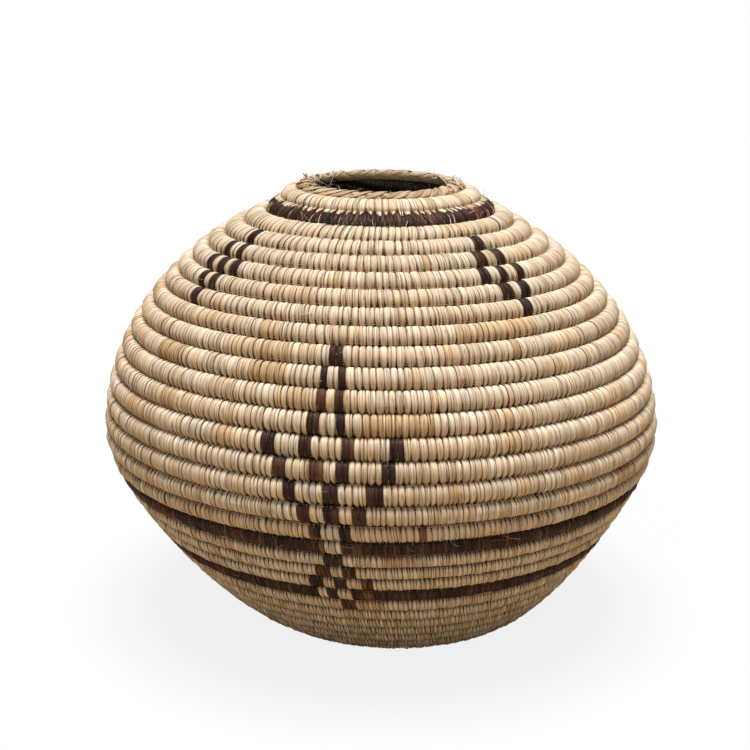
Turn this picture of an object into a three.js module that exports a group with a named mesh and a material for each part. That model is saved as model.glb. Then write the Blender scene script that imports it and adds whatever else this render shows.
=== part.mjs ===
// Palm basket: a round-bellied jar wound from one coil of palm fibre.
// The coil starts in a knot at the middle of the base and climbs, round by round, to a small mouth,
// where a plaited rim closes the last round. Each round lies level at the front and steps up to
// the next level in a zone at the back. Neighbouring rounds are pressed flat where they meet.
// Millimetres, +Z up, the basket stands on z = 0 and its front faces -Y.

import * as THREE from "three";

// Driving dimensions of the coil
const COIL_DEPTH = 11.6;
const PRESSED_WIDTH = 6.4;
const CREST_HEIGHT = 4.6;
const MOST_BULGE = 0.5;
const ROUND_GAP = 0.3;
const KNOT_RADIUS = 7;
const BASE_RADIUS = 78;
const BASE_ROUNDS = 7;
const WALL_ROUNDS = 30;

// Outline of the wall along the middle of the coil, from the edge of the flat base to the mouth.
// Two curves meet upright at the belly. A pull is how far a curve keeps its direction at that end.
const BELLY_RADIUS = 160;
const BELLY_HEIGHT = 117;
const MOUTH_RADIUS = 45;
const MOUTH_HEIGHT = 251;
const FOOT_SLOPE = THREE.MathUtils.degToRad(23);
const FOOT_PULL = 32;
const LOWER_BELLY_PULL = 21;
const UPPER_BELLY_PULL = 58;
const SHOULDER_SLOPE = THREE.MathUtils.degToRad(19.5);
const SHOULDER_PULL = 72;
const COLLAR_HEIGHT = 6.2;

// Relative thickness of the rounds from foot to neck, as the maker's bundle swelled and thinned
const ROUND_SWELL = [10.1, 9.9, 10.1, 9.4, 10.9, 11.4, 10.7, 12.1, 14.5];

// The last round stands out over the neck: its own bulge, most share of its width, and how far
// the bulge sags from its outward direction
const LAST_BULGE = 6;
const LAST_MOST_BULGE = 0.75;
const LAST_SAG = THREE.MathUtils.degToRad(40);

// The sag is lost by this power of the bulge that a thinning round keeps
const SAG_FADE = 4;

// The dyed rounds, counted up the wall from the foot
const FOOT_BAND_ROUND = 8;
const WAIST_BAND_ROUND = 12;
const NECK_BAND_ROUND = 29;

// Step-up zone at the back and the sideways drift of the handmade shape
const STATIONS = 24;
const STEP_STATIONS = 8;
const BACK_AZIMUTH = Math.PI / 2;
const TAPER_STATIONS = 2;
const INNER_BASE_ROUNDS = 5;
const FOOT_DRIFT = 9.1;
const MOUTH_DRIFT = -3.5;

// The mouth leans a little to the front and sits a little to the right, from the first height up,
// fully from the second
const MOUTH_TILT = THREE.MathUtils.degToRad(1.2);
const MOUTH_SHIFT = 2.4;
const TILT_START = 233;
const TILT_FULL = 250;

// Plaited rim. Each leaf runs inwards over the top and turns down at both edges.
const RIM_WIDTH = 12.3;
const RIM_HEIGHT = 4.9;
const RIM_INSET = 1;
const RIM_CHEVRONS = 32;
const RIM_RELIEF = 1;
const STATIONS_PER_CHEVRON = 4;

// Section of the rim: shares of half its width, of its height and of its relief, and the stations
// by which the leaf has run on there from where it starts, at the outer edge of the top
const RIM_SECTION = [
  { across: -0.46, up: 0, relief: 0, run: 0 },
  { across: 0.78, up: 0, relief: 0, run: 0 },
  { across: 1, up: 0.26, relief: 0.6, run: 1 },
  { across: 0.56, up: 0.7, relief: 1, run: 0 },
  { across: 0.05, up: 0.92, relief: 1, run: 1 },
  { across: -0.5, up: 1, relief: 1, run: 2 },
  { across: -1, up: 0.5, relief: 0.6, run: 3 },
];

// Finishes
const NATURAL_PALM = { color: 0xc8a877, roughness: 0.75, metalness: 0 };
const DYED_PALM = { color: 0x33201a, roughness: 0.7, metalness: 0 };
const RIM_PALM = { color: 0xc9b183, roughness: 0.78, metalness: 0 };

// Middle line of the coil in the plane of radius and height
const point = (radius, height) => new THREE.Vector2(radius, height);
const baseMiddle = COIL_DEPTH / 2;
const baseEdge = point(BASE_RADIUS, baseMiddle);
const belly = point(BELLY_RADIUS, BELLY_HEIGHT);
const mouth = point(MOUTH_RADIUS, MOUTH_HEIGHT);
const collarTop = point(MOUTH_RADIUS, MOUTH_HEIGHT + COLLAR_HEIGHT);
const outline = new THREE.CurvePath();
outline.add(new THREE.LineCurve(point(0, baseMiddle), baseEdge));
outline.add(
  new THREE.CubicBezierCurve(
    baseEdge,
    point(Math.cos(FOOT_SLOPE), Math.sin(FOOT_SLOPE)).multiplyScalar(FOOT_PULL).add(baseEdge),
    point(BELLY_RADIUS, BELLY_HEIGHT - LOWER_BELLY_PULL),
    belly,
  ),
);
outline.add(
  new THREE.CubicBezierCurve(
    belly,
    point(BELLY_RADIUS, BELLY_HEIGHT + UPPER_BELLY_PULL),
    point(Math.cos(SHOULDER_SLOPE), -Math.sin(SHOULDER_SLOPE))
      .multiplyScalar(SHOULDER_PULL)
      .add(mouth),
    mouth,
  ),
);
outline.add(new THREE.LineCurve(mouth, collarTop));
const outlineLength = outline.getLength();

// Point on the middle line at a distance along it from the base centre
function outlinePoint(distance) {
  const share = THREE.MathUtils.clamp(distance / outlineLength, 0, 1);
  return outline.getPoint(share);
}

// Distances along the middle line at which one round ends and the next begins
function roundEdges() {
  const swell = new THREE.SplineCurve(
    ROUND_SWELL.map((thickness, i) => point(i / (ROUND_SWELL.length - 1), thickness)),
  );
  const edges = [KNOT_RADIUS];
  const basePitch = (BASE_RADIUS - KNOT_RADIUS) / BASE_ROUNDS;
  for (let i = 1; i <= BASE_ROUNDS; i++) {
    edges.push(KNOT_RADIUS + i * basePitch);
  }
  const swells = [];
  for (let i = 0; i < WALL_ROUNDS; i++) {
    swells.push(swell.getPoint((i + 0.5) / WALL_ROUNDS).y);
  }
  const total = swells.reduce((sum, value) => sum + value, 0);
  const share = (outlineLength - BASE_RADIUS) / total;
  for (const value of swells) {
    edges.push(edges[edges.length - 1] + value * share);
  }
  return edges;
}

const edges = roundEdges();
const roundCount = BASE_ROUNDS + WALL_ROUNDS;

// Distance of a round's lower edge, where the round is a whole number or part way to the next
function edgeAt(round) {
  const r = THREE.MathUtils.clamp(round, 0, roundCount);
  const whole = Math.min(Math.floor(r), roundCount - 1);
  return THREE.MathUtils.lerp(edges[whole], edges[whole + 1], r - whole);
}

// Direction along the outline and outward from it, averaged over a coil's thickness
function outlineFrame(distance) {
  const reach = PRESSED_WIDTH / 2;
  const ahead = outlinePoint(distance + reach);
  const behind = outlinePoint(distance - reach);
  const along = ahead.sub(behind).normalize();
  return { at: outlinePoint(distance), along, outward: point(along.y, -along.x) };
}

// Section of the coil between two edges: pressed flat at both edges and bulging between them.
// A round that thins out bulges less. Points run anticlockwise with radius to the right.
const evenSwell = { bulge: (COIL_DEPTH - PRESSED_WIDTH) / 2, most: MOST_BULGE, sag: 0 };
const lastSwell = { bulge: LAST_BULGE, most: LAST_MOST_BULGE, sag: LAST_SAG };

function coilSection(lowEdge, highEdge, outerSwell) {
  const low = outlineFrame(lowEdge);
  const high = outlineFrame(highEdge);
  const pressed = (frame, outward, along) =>
    frame.at.clone().addScaledVector(frame.outward, outward).addScaledVector(frame.along, along);
  const bulged = (from, to, crestSide, { bulge, most, sag }) => {
    const chord = to.clone().sub(from);
    const span = chord.length();
    const depth = Math.min(bulge, span * most);
    const crest = crestSide * Math.min(CREST_HEIGHT / span, MOST_BULGE);
    const outward = point(chord.y, -chord.x).normalize();
    outward.rotateAround(point(0, 0), -sag * (depth / bulge) ** SAG_FADE);
    return from.clone().lerp(to, (1 + crest) / 2).addScaledVector(outward, depth);
  };
  const halfFlat = PRESSED_WIDTH / 2;
  const lowIn = pressed(low, -halfFlat, ROUND_GAP / 2);
  const lowOut = pressed(low, halfFlat, ROUND_GAP / 2);
  const highOut = pressed(high, halfFlat, -ROUND_GAP / 2);
  const highIn = pressed(high, -halfFlat, -ROUND_GAP / 2);
  return [
    lowIn,
    lowOut,
    bulged(lowOut, highOut, -1, outerSwell),
    bulged(lowOut, highOut, 1, outerSwell),
    highOut,
    highIn,
    bulged(highIn, lowIn, 0, evenSwell),
  ];
}

// Sideways drift of the basket's axis at a height: none at the belly
function driftAt(height) {
  if (height < BELLY_HEIGHT) {
    return FOOT_DRIFT * (1 - height / BELLY_HEIGHT) ** 2;
  }
  return MOUTH_DRIFT * ((height - BELLY_HEIGHT) / (MOUTH_HEIGHT - BELLY_HEIGHT)) ** 2;
}

// Point of a section at an azimuth, drifted sideways, and leaning and shifted with the mouth
function toSpace(at, azimuth) {
  const mouthShare = THREE.MathUtils.smoothstep(at.y, TILT_START, TILT_FULL);
  const lean = Math.tan(MOUTH_TILT) * mouthShare;
  return new THREE.Vector3(
    at.x * Math.cos(azimuth) + driftAt(at.y) + MOUTH_SHIFT * mouthShare,
    at.x * Math.sin(azimuth),
    at.y + lean * at.x * Math.sin(azimuth),
  );
}

// The seam, where one round ends and the next begins, is at the end of the step-up zone
const stationAngle = (2 * Math.PI) / STATIONS;
const seamAzimuth = BACK_AZIMUTH + (STEP_STATIONS / 2) * stationAngle;

function stepUp(station, stations) {
  const turn = station / stations;
  const zone = STEP_STATIONS / STATIONS;
  return THREE.MathUtils.smoothstep(turn, 1 - zone, 1);
}

// Closed skin over rings of equally many points, each ring a flat section. The first side, which
// is pressed on the round below, is split along the other diagonal, as the top of that round is.
function skin(rings) {
  const size = rings[0].length;
  const positions = rings.flat().flatMap((p) => [p.x, p.y, p.z]);
  const index = [];
  for (let ring = 0; ring + 1 < rings.length; ring++) {
    for (let side = 0; side < size; side++) {
      const a = ring * size + side;
      const b = ring * size + ((side + 1) % size);
      const c = a + size;
      const d = b + size;
      if (side === 0) {
        index.push(a, d, b, a, c, d);
      } else {
        index.push(a, c, b, b, c, d);
      }
    }
  }
  const last = (rings.length - 1) * size;
  for (let side = 1; side + 1 < size; side++) {
    index.push(0, side, side + 1);
    index.push(last, last + side + 1, last + side);
  }
  const geometry = new THREE.BufferGeometry();
  geometry.setAttribute("position", new THREE.Float32BufferAttribute(positions, 3));
  geometry.setIndex(index);
  geometry.computeVertexNormals();
  return geometry;
}

// End ring moved along its chord, so that a round stops half a gap short of the seam
function shortenedRing(ring, next) {
  const share = ROUND_GAP / 2 / ring[0].distanceTo(next[0]);
  return ring.map((p, i) => p.clone().lerp(next[i], share));
}

// One whole round of the coil, from seam to seam
function coilRound(round, stations, runs, outerSwell) {
  const rings = [];
  for (let station = 0; station <= runs; station++) {
    const at = round + stepUp(station, stations);
    const azimuth = seamAzimuth + (station / stations) * 2 * Math.PI;
    const section = coilSection(edgeAt(at), edgeAt(at + 1), outerSwell);
    rings.push(section.map((p) => toSpace(p, azimuth)));
  }
  const first = shortenedRing(rings[0], rings[1]);
  const last = shortenedRing(rings[runs], rings[runs - 1]);
  rings[0] = first;
  rings[runs] = last;
  return skin(rings);
}

// The knot fills the inside of the first round, and its edge winds out by one round like a snail
function startKnot(stations) {
  const edge = [];
  for (let station = 0; station <= stations; station++) {
    const azimuth = seamAzimuth + (station / stations) * 2 * Math.PI;
    edge.push({ radius: edgeAt(stepUp(station, stations)) - ROUND_GAP / 2, azimuth });
  }
  const bulge = (COIL_DEPTH - PRESSED_WIDTH) / 2;
  const levels = [
    { inset: bulge, height: 0 },
    { inset: 0, height: bulge },
    { inset: 0, height: COIL_DEPTH - bulge },
    { inset: bulge, height: COIL_DEPTH },
  ];
  const rings = levels.map(({ inset, height }) =>
    edge.map((p) => toSpace(point(p.radius - inset, height), p.azimuth)),
  );
  const size = edge.length;
  const positions = rings.flat().flatMap((p) => [p.x, p.y, p.z]);
  const index = [];
  for (let level = 0; level + 1 < levels.length; level++) {
    for (let i = 0; i < size; i++) {
      const a = level * size + i;
      const b = level * size + ((i + 1) % size);
      index.push(a, b, a + size, b, b + size, a + size);
    }
  }
  // The faces meet at points beside the seam's own line, so that none of them is a sliver
  const bottomCentre = positions.length / 3;
  const topCentre = bottomCentre + 1;
  for (const height of [0, COIL_DEPTH]) {
    const centre = toSpace(point(KNOT_RADIUS / 4, height), seamAzimuth - Math.PI / 2);
    positions.push(centre.x, centre.y, centre.z);
  }
  const top = (levels.length - 1) * size;
  for (let i = 0; i < size; i++) {
    const next = (i + 1) % size;
    index.push(bottomCentre, next, i);
    index.push(topCentre, top + i, top + next);
  }
  const geometry = new THREE.BufferGeometry();
  geometry.setAttribute("position", new THREE.Float32BufferAttribute(positions, 3));
  geometry.setIndex(index);
  geometry.computeVertexNormals();
  return geometry;
}

// Plaited rim: a flat-bottomed ring whose leaves overlap like steps along it
function plaitedRim() {
  const seat = collarTop.y + ROUND_GAP / 2;
  const count = RIM_CHEVRONS * STATIONS_PER_CHEVRON;
  const positions = [];
  for (let station = 0; station < count; station++) {
    const azimuth = (station / count) * 2 * Math.PI;
    for (const { across, up, relief, run } of RIM_SECTION) {
      const phase = (station + STATIONS_PER_CHEVRON - run) % STATIONS_PER_CHEVRON;
      const sunk = (phase / (STATIONS_PER_CHEVRON - 1)) * RIM_RELIEF * relief;
      const halfWidth = RIM_WIDTH / 2 - sunk * Math.abs(across);
      const radius = MOUTH_RADIUS - RIM_INSET + across * halfWidth;
      const height = seat + RIM_HEIGHT * up - sunk * up;
      const at = toSpace(point(radius, height), azimuth);
      positions.push(at.x, at.y, at.z);
    }
  }
  const size = RIM_SECTION.length;
  const total = count * size;
  const index = [];
  for (let station = 0; station < count; station++) {
    for (let side = 0; side < size; side++) {
      const a = station * size + side;
      const b = station * size + ((side + 1) % size);
      const c = (a + size) % total;
      const d = (b + size) % total;
      index.push(a, c, b, b, c, d);
    }
  }
  const geometry = new THREE.BufferGeometry();
  geometry.setAttribute("position", new THREE.Float32BufferAttribute(positions, 3));
  geometry.setIndex(index);
  geometry.computeVertexNormals();
  return geometry;
}

function piece(name, geometry, finish) {
  const mesh = new THREE.Mesh(geometry, new THREE.MeshStandardMaterial(finish));
  mesh.name = name;
  return mesh;
}

function twoDigits(number) {
  return String(number).padStart(2, "0");
}

const basket = new THREE.Group();
basket.name = "palm_basket";

basket.add(piece("start_knot", startKnot(STATIONS / 2), NATURAL_PALM));
for (let round = 1; round <= BASE_ROUNDS; round++) {
  const stations = round <= INNER_BASE_ROUNDS ? STATIONS / 2 : STATIONS;
  const coil = coilRound(round - 1, stations, stations, evenSwell);
  basket.add(piece(`base_round_${twoDigits(round)}`, coil, NATURAL_PALM));
}

const bandNames = {
  [FOOT_BAND_ROUND]: "dark_band_foot",
  [WAIST_BAND_ROUND]: "dark_band_waist",
  [NECK_BAND_ROUND]: "dark_band_neck",
};
for (let round = 1; round <= WALL_ROUNDS; round++) {
  const isLast = round === WALL_ROUNDS;
  const runs = isLast ? STATIONS - TAPER_STATIONS : STATIONS;
  const name = bandNames[round] ?? `wall_round_${twoDigits(round)}`;
  const finish = bandNames[round] ? DYED_PALM : NATURAL_PALM;
  const swell = isLast ? lastSwell : evenSwell;
  basket.add(piece(name, coilRound(BASE_ROUNDS + round - 1, STATIONS, runs, swell), finish));
}
basket.add(piece("rim_plait", plaitedRim(), RIM_PALM));

// The origin is below the middle of the whole basket
const middle = new THREE.Box3().setFromObject(basket).getCenter(new THREE.Vector3());
basket.position.set(-middle.x, -middle.y, 0);

export default basket;
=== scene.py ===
"""Coiled palm basket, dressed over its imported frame.

One bundle of fibre is wound from the middle of the base up to the mouth and wrapped with strips
of palm leaf. Each strip starts in the groove above its round, lies over the bundle and is caught
with a narrow tip into the round below. A plaited rim closes the last round. Sizes are in
millimetres until a mesh is made. The scene is in metres, +Z up, with the front towards -Y.
"""

import logging
import math
from dataclasses import dataclass, field, replace
from enum import Enum

import bpy
import numpy as np
from mathutils import Matrix


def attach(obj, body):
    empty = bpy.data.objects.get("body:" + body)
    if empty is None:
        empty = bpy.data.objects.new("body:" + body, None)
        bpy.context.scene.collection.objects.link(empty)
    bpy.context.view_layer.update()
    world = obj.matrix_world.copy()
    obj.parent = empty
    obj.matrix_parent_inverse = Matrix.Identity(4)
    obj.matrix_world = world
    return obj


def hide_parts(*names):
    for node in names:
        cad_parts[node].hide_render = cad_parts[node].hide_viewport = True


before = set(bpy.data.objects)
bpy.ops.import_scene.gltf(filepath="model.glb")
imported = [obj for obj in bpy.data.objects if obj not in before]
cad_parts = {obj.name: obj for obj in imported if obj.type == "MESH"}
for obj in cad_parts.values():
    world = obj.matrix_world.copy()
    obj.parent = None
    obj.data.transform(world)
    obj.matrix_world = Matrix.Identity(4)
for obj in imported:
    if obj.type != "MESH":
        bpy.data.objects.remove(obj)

log = logging.getLogger("palm_basket")
MM = 0.001
BODY = "root"
# A strip that is dyed further than this takes the dyed finish
DYED_FROM = 0.2
# How far a strip's own number, from 0 to 1, moves its grain across and deep
GRAIN_ASIDE, GRAIN_DEEP = 60.0, 40.0
# A single strip takes this part of its cell on the bake map
CELL_MARGIN, CELL_FILL = 0.1, 0.8

Colour = tuple[float, float, float]
Span = tuple[float, float]
Line = tuple[Span, ...]
Socket = bpy.types.NodeSocket


class Slot(Enum):
    """Material slots of a wrapped piece, in the order in which its mesh holds them."""

    NATURAL = 0
    DYED = 1
    INNER = 2
    BUNDLE = 3


class Dye(Enum):
    """How far a strip has been dyed before it is wrapped."""

    NONE = 0.0
    RUST = 0.35
    BROWN = 0.7
    DARK = 1.0


Stretch = tuple[float, float, Dye]


# Small tools


def eased(share: np.ndarray) -> np.ndarray:
    """Keeps a share from 0 to 1 and eases it at both ends."""
    share = np.clip(share, 0, 1)
    return share * share * (3 - 2 * share)


def cubic(*corners: Span, samples: int = 2001) -> np.ndarray:
    """Samples the cubic curve from the first of four points to the last.

    Args:
        corners: The four points. The middle two pull the curve towards them.
        samples: Number of points on the curve.

    Returns:
        The curve's points, one in each row.
    """
    share = np.linspace(0, 1, samples)[:, None]
    rest = 1 - share
    a, b, c, d = np.array(corners, float)
    return rest**3 * a + 3 * rest**2 * share * b + 3 * rest * share**2 * c + share**3 * d


def on_map(across: np.ndarray, along: np.ndarray) -> np.ndarray:
    """Joins the two places on the bake map."""
    return np.stack(np.broadcast_arrays(across, along), -1)


# The coil's path


@dataclass(frozen=True)
class CoilPath:
    """Middle line of the coil in the plane of radius and height, and its winding round the axis."""

    depth: float = 11.6
    pressed_width: float = 6.4
    knot_radius: float = 7.0
    base_radius: float = 78.0
    base_rounds: int = 7
    wall_rounds: int = 30
    belly_radius: float = 160.0
    belly_height: float = 117.0
    mouth_radius: float = 45.0
    mouth_height: float = 251.0
    foot_slope: float = math.radians(23)
    foot_pull: float = 32.0
    lower_belly_pull: float = 21.0
    upper_belly_pull: float = 58.0
    shoulder_slope: float = math.radians(19.5)
    shoulder_pull: float = 72.0
    collar_height: float = 6.2
    swell: tuple[float, ...] = (10.1, 9.9, 10.1, 9.4, 10.9, 11.4, 10.7, 12.1, 14.5)
    step_share: float = 8 / 24
    foot_drift: float = 9.1
    mouth_drift: float = -3.5
    mouth_tilt: float = math.radians(1.2)
    mouth_shift: float = 2.4
    tilt_start: float = 233.0
    tilt_full: float = 250.0
    line: dict = field(default_factory=dict, compare=False)

    def __post_init__(self) -> None:
        """Measures the middle line once, so that points on it can be looked up by distance."""
        radii, heights = self._outline()
        steps = np.hypot(np.diff(radii), np.diff(heights))
        self.line["distance"] = np.concatenate([[0.0], np.cumsum(steps)])
        self.line["radius"] = radii
        self.line["height"] = heights
        self.line["edges"] = self._edges()

    def _outline(self) -> tuple[np.ndarray, np.ndarray]:
        """Samples the flat base, the two curves of the wall and the short collar.

        Returns:
            Radii and heights along the middle line, from the base centre to the collar's top.
        """
        foot = (self.base_radius, self.depth / 2)
        belly = (self.belly_radius, self.belly_height)
        mouth = (self.mouth_radius, self.mouth_height)
        foot_pull = (
            foot[0] + self.foot_pull * math.cos(self.foot_slope),
            foot[1] + self.foot_pull * math.sin(self.foot_slope),
        )
        shoulder_pull = (
            mouth[0] + self.shoulder_pull * math.cos(self.shoulder_slope),
            mouth[1] - self.shoulder_pull * math.sin(self.shoulder_slope),
        )
        lower = cubic(foot, foot_pull, (belly[0], belly[1] - self.lower_belly_pull), belly)
        upper = cubic(belly, (belly[0], belly[1] + self.upper_belly_pull), shoulder_pull, mouth)
        base = np.array([(0.0, foot[1]), foot])
        top = np.array([(mouth[0], mouth[1] + self.collar_height)])
        points = np.concatenate([base, lower[1:], upper[1:], top])
        return points[:, 0], points[:, 1]

    def _edges(self) -> np.ndarray:
        """Finds where one round ends and the next begins.

        Returns:
            Distances along the middle line, one more than there are rounds.
        """
        swell = np.array(self.swell)
        last = len(swell) - 1
        place = (np.arange(self.wall_rounds) + 0.5) / self.wall_rounds * last
        whole = np.minimum(place.astype(int), last - 1)
        part = place - whole
        before, start = swell[np.maximum(whole - 1, 0)], swell[whole]
        end, after = swell[whole + 1], swell[np.minimum(whole + 2, last)]
        pull, push = (end - before) / 2, (after - start) / 2
        thickness = (
            (2 * start - 2 * end + pull + push) * part**3
            + (-3 * start + 3 * end - 2 * pull - push) * part**2
            + pull * part
            + start
        )
        pitch = (self.base_radius - self.knot_radius) / self.base_rounds
        base = self.knot_radius + pitch * np.arange(self.base_rounds + 1)
        wall = thickness / thickness.sum() * (self.line["distance"][-1] - self.base_radius)
        return np.concatenate([base, self.base_radius + np.cumsum(wall)])

    @property
    def rounds(self) -> int:
        """Number of whole rounds from the knot to the mouth."""
        return self.base_rounds + self.wall_rounds

    @property
    def seam(self) -> float:
        """Azimuth at which one round ends and the next begins."""
        return math.pi / 2 + self.step_share * math.pi

    def edge(self, rounds: np.ndarray) -> np.ndarray:
        """Distance of a round's lower edge, where the round may be part way to the next."""
        edges = self.line["edges"]
        return np.interp(rounds, np.arange(len(edges)), edges)

    def step_up(self, turn: np.ndarray) -> np.ndarray:
        """Share of a round by which the coil has climbed after this share of its turn."""
        return eased((turn - 1 + self.step_share) / self.step_share)

    def plane_point(
        self, distance: np.ndarray, outward: np.ndarray
    ) -> tuple[np.ndarray, np.ndarray]:
        """Places points beside the middle line.

        Args:
            distance: Distance along the middle line.
            outward: Distance from it towards the outside of the basket.

        Returns:
            Radii and heights of the points.
        """
        line = self.line
        reach = self.pressed_width / 2
        end = line["distance"][-1]
        ahead = np.minimum(distance + reach, end)
        behind = np.clip(distance - reach, 0, end - reach)
        along_r = self._read("radius", ahead) - self._read("radius", behind)
        along_z = self._read("height", ahead) - self._read("height", behind)
        length = np.hypot(along_r, along_z)
        past = np.maximum(distance - end, 0)
        radius = self._read("radius", distance) + outward * along_z / length
        height = self._read("height", distance) - outward * along_r / length + past
        return radius, height

    def _read(self, what: str, distance: np.ndarray) -> np.ndarray:
        """Reads the radius or height of the middle line at a distance."""
        return np.interp(distance, self.line["distance"], self.line[what])

    def to_space(self, radius: np.ndarray, height: np.ndarray, azimuth: np.ndarray) -> np.ndarray:
        """Turns points of the plane round the axis, with the drift and lean of the handmade form.

        Args:
            radius: Distance from the axis.
            height: Height over the floor.
            azimuth: Angle round the axis from +X, in radians.

        Returns:
            Points in millimetres, the last axis holding x, y and z.
        """
        low = self.foot_drift * np.clip(1 - height / self.belly_height, 0, 1) ** 2
        rise = (height - self.belly_height) / (self.mouth_height - self.belly_height)
        drift = low + self.mouth_drift * np.clip(rise, 0, None) ** 2
        share = eased((height - self.tilt_start) / (self.tilt_full - self.tilt_start))
        lean = math.tan(self.mouth_tilt) * share
        across = radius * np.sin(azimuth)
        aside = radius * np.cos(azimuth) + drift + self.mouth_shift * share
        return np.stack([aside, across, height + lean * across], -1)


# Meshes of many strips


class StripBin:
    """Collects grids of points, one for each strip, and makes one mesh of them."""

    def __init__(self) -> None:
        """Starts with nothing in the bin."""
        self.points: list[np.ndarray] = []
        self.faces: list[np.ndarray] = []
        self.slots: list[np.ndarray] = []
        self.maps: list[np.ndarray] = []
        self.marks: dict[str, list[np.ndarray]] = {"place": [], "grain": [], "tone": []}
        self.count = 0

    def add(
        self,
        points: np.ndarray,
        maps: np.ndarray,
        slots: Slot | np.ndarray,
        flip: bool = False,
        **marks: tuple[np.ndarray | float, ...],
    ) -> None:
        """Adds grids of equal size.

        Args:
            points: Points in millimetres, by strip, row and column.
            maps: Places on the bake map, by strip, row and column.
            slots: Material slot of all the strips, or the number of each one's slot.
            flip: Turns the faces the other way.
            marks: Three values for each mark that the finishes read: place, grain and tone.
        """
        strips, rows, columns, _ = points.shape
        index = self.count + np.arange(strips * rows * columns).reshape(strips, rows, columns)
        corners = [index[:, :-1, :-1], index[:, :-1, 1:], index[:, 1:, 1:], index[:, 1:, :-1]]
        if flip:
            corners.reverse()
        numbers = np.full(strips, slots.value) if isinstance(slots, Slot) else slots
        self.faces.append(np.stack(corners, -1).reshape(-1, 4))
        self.slots.append(np.repeat(numbers, (rows - 1) * (columns - 1)))
        self.points.append(points.reshape(-1, 3))
        self.maps.append(maps.reshape(-1, 2))
        for name, values in self.marks.items():
            parts = [np.broadcast_to(value, points.shape[:3]) for value in marks[name]]
            values.append(np.stack(parts, -1).reshape(-1, 3))
        self.count += strips * rows * columns

    def build(self, name: str, finishes: list[bpy.types.Material]) -> bpy.types.Object:
        """Makes one smooth mesh of all the grids.

        Args:
            name: Name of the piece.
            finishes: Materials in the order of the slots.

        Returns:
            The new object, linked to the scene.
        """
        points = np.concatenate(self.points) * MM
        faces = np.concatenate(self.faces).astype(np.int32)
        mesh = bpy.data.meshes.new(name)
        mesh.vertices.add(len(points))
        mesh.vertices.foreach_set("co", points.astype(np.float32).ravel())
        mesh.loops.add(faces.size)
        mesh.loops.foreach_set("vertex_index", faces.ravel())
        mesh.polygons.add(len(faces))
        mesh.polygons.foreach_set("loop_start", np.arange(0, faces.size, 4, dtype=np.int32))
        mesh.polygons.foreach_set("material_index", np.concatenate(self.slots).astype(np.int32))
        mesh.polygons.foreach_set("use_smooth", np.ones(len(faces), bool))
        mesh.update(calc_edges=True)
        maps = np.concatenate(self.maps)[faces.ravel()].astype(np.float32)
        mesh.uv_layers.new(name="OFBake").data.foreach_set("uv", maps.ravel())
        for mark, values in self.marks.items():
            vectors = np.concatenate(values).astype(np.float32)
            attribute = mesh.attributes.new(mark, "FLOAT_VECTOR", "POINT")
            attribute.data.foreach_set("vector", vectors.ravel())
        for finish in finishes:
            mesh.materials.append(finish)
        piece = bpy.data.objects.new(name, mesh)
        bpy.context.scene.collection.objects.link(piece)
        return piece


@dataclass(frozen=True)
class BakeSheet:
    """Lays strips out side by side in rows on a band of the unit square."""

    low: float
    high: float
    rows: int
    half_width: float = 0.45
    length: float = 0.94

    def place(self, strips: int, across: np.ndarray, along: np.ndarray) -> np.ndarray:
        """Gives each strip a cell of its own.

        Args:
            strips: Number of strips.
            across: Place across the strip, from -1 to 1, by row and column.
            along: Place along the strip, from 0 to 1, by row and column.

        Returns:
            Map places by strip, row and column.
        """
        columns = math.ceil(strips / self.rows)
        number = np.arange(strips)[:, None, None]
        wide, tall = 1 / columns, (self.high - self.low) / self.rows
        u = (number % columns + 0.5 + self.half_width * across) * wide
        v = self.low + (number // columns + 0.5 + self.length * (along - 0.5)) * tall
        return on_map(u, v)


class StripWork:
    """Work that is laid strip by strip. Each kind keeps its bin and the hand's differences."""

    def start(self, seed: int) -> None:
        """Empties the bin and sets the hand's small differences going from a seed."""
        self.store, self.rng = StripBin(), np.random.default_rng(seed)


# The dyed pattern


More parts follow.
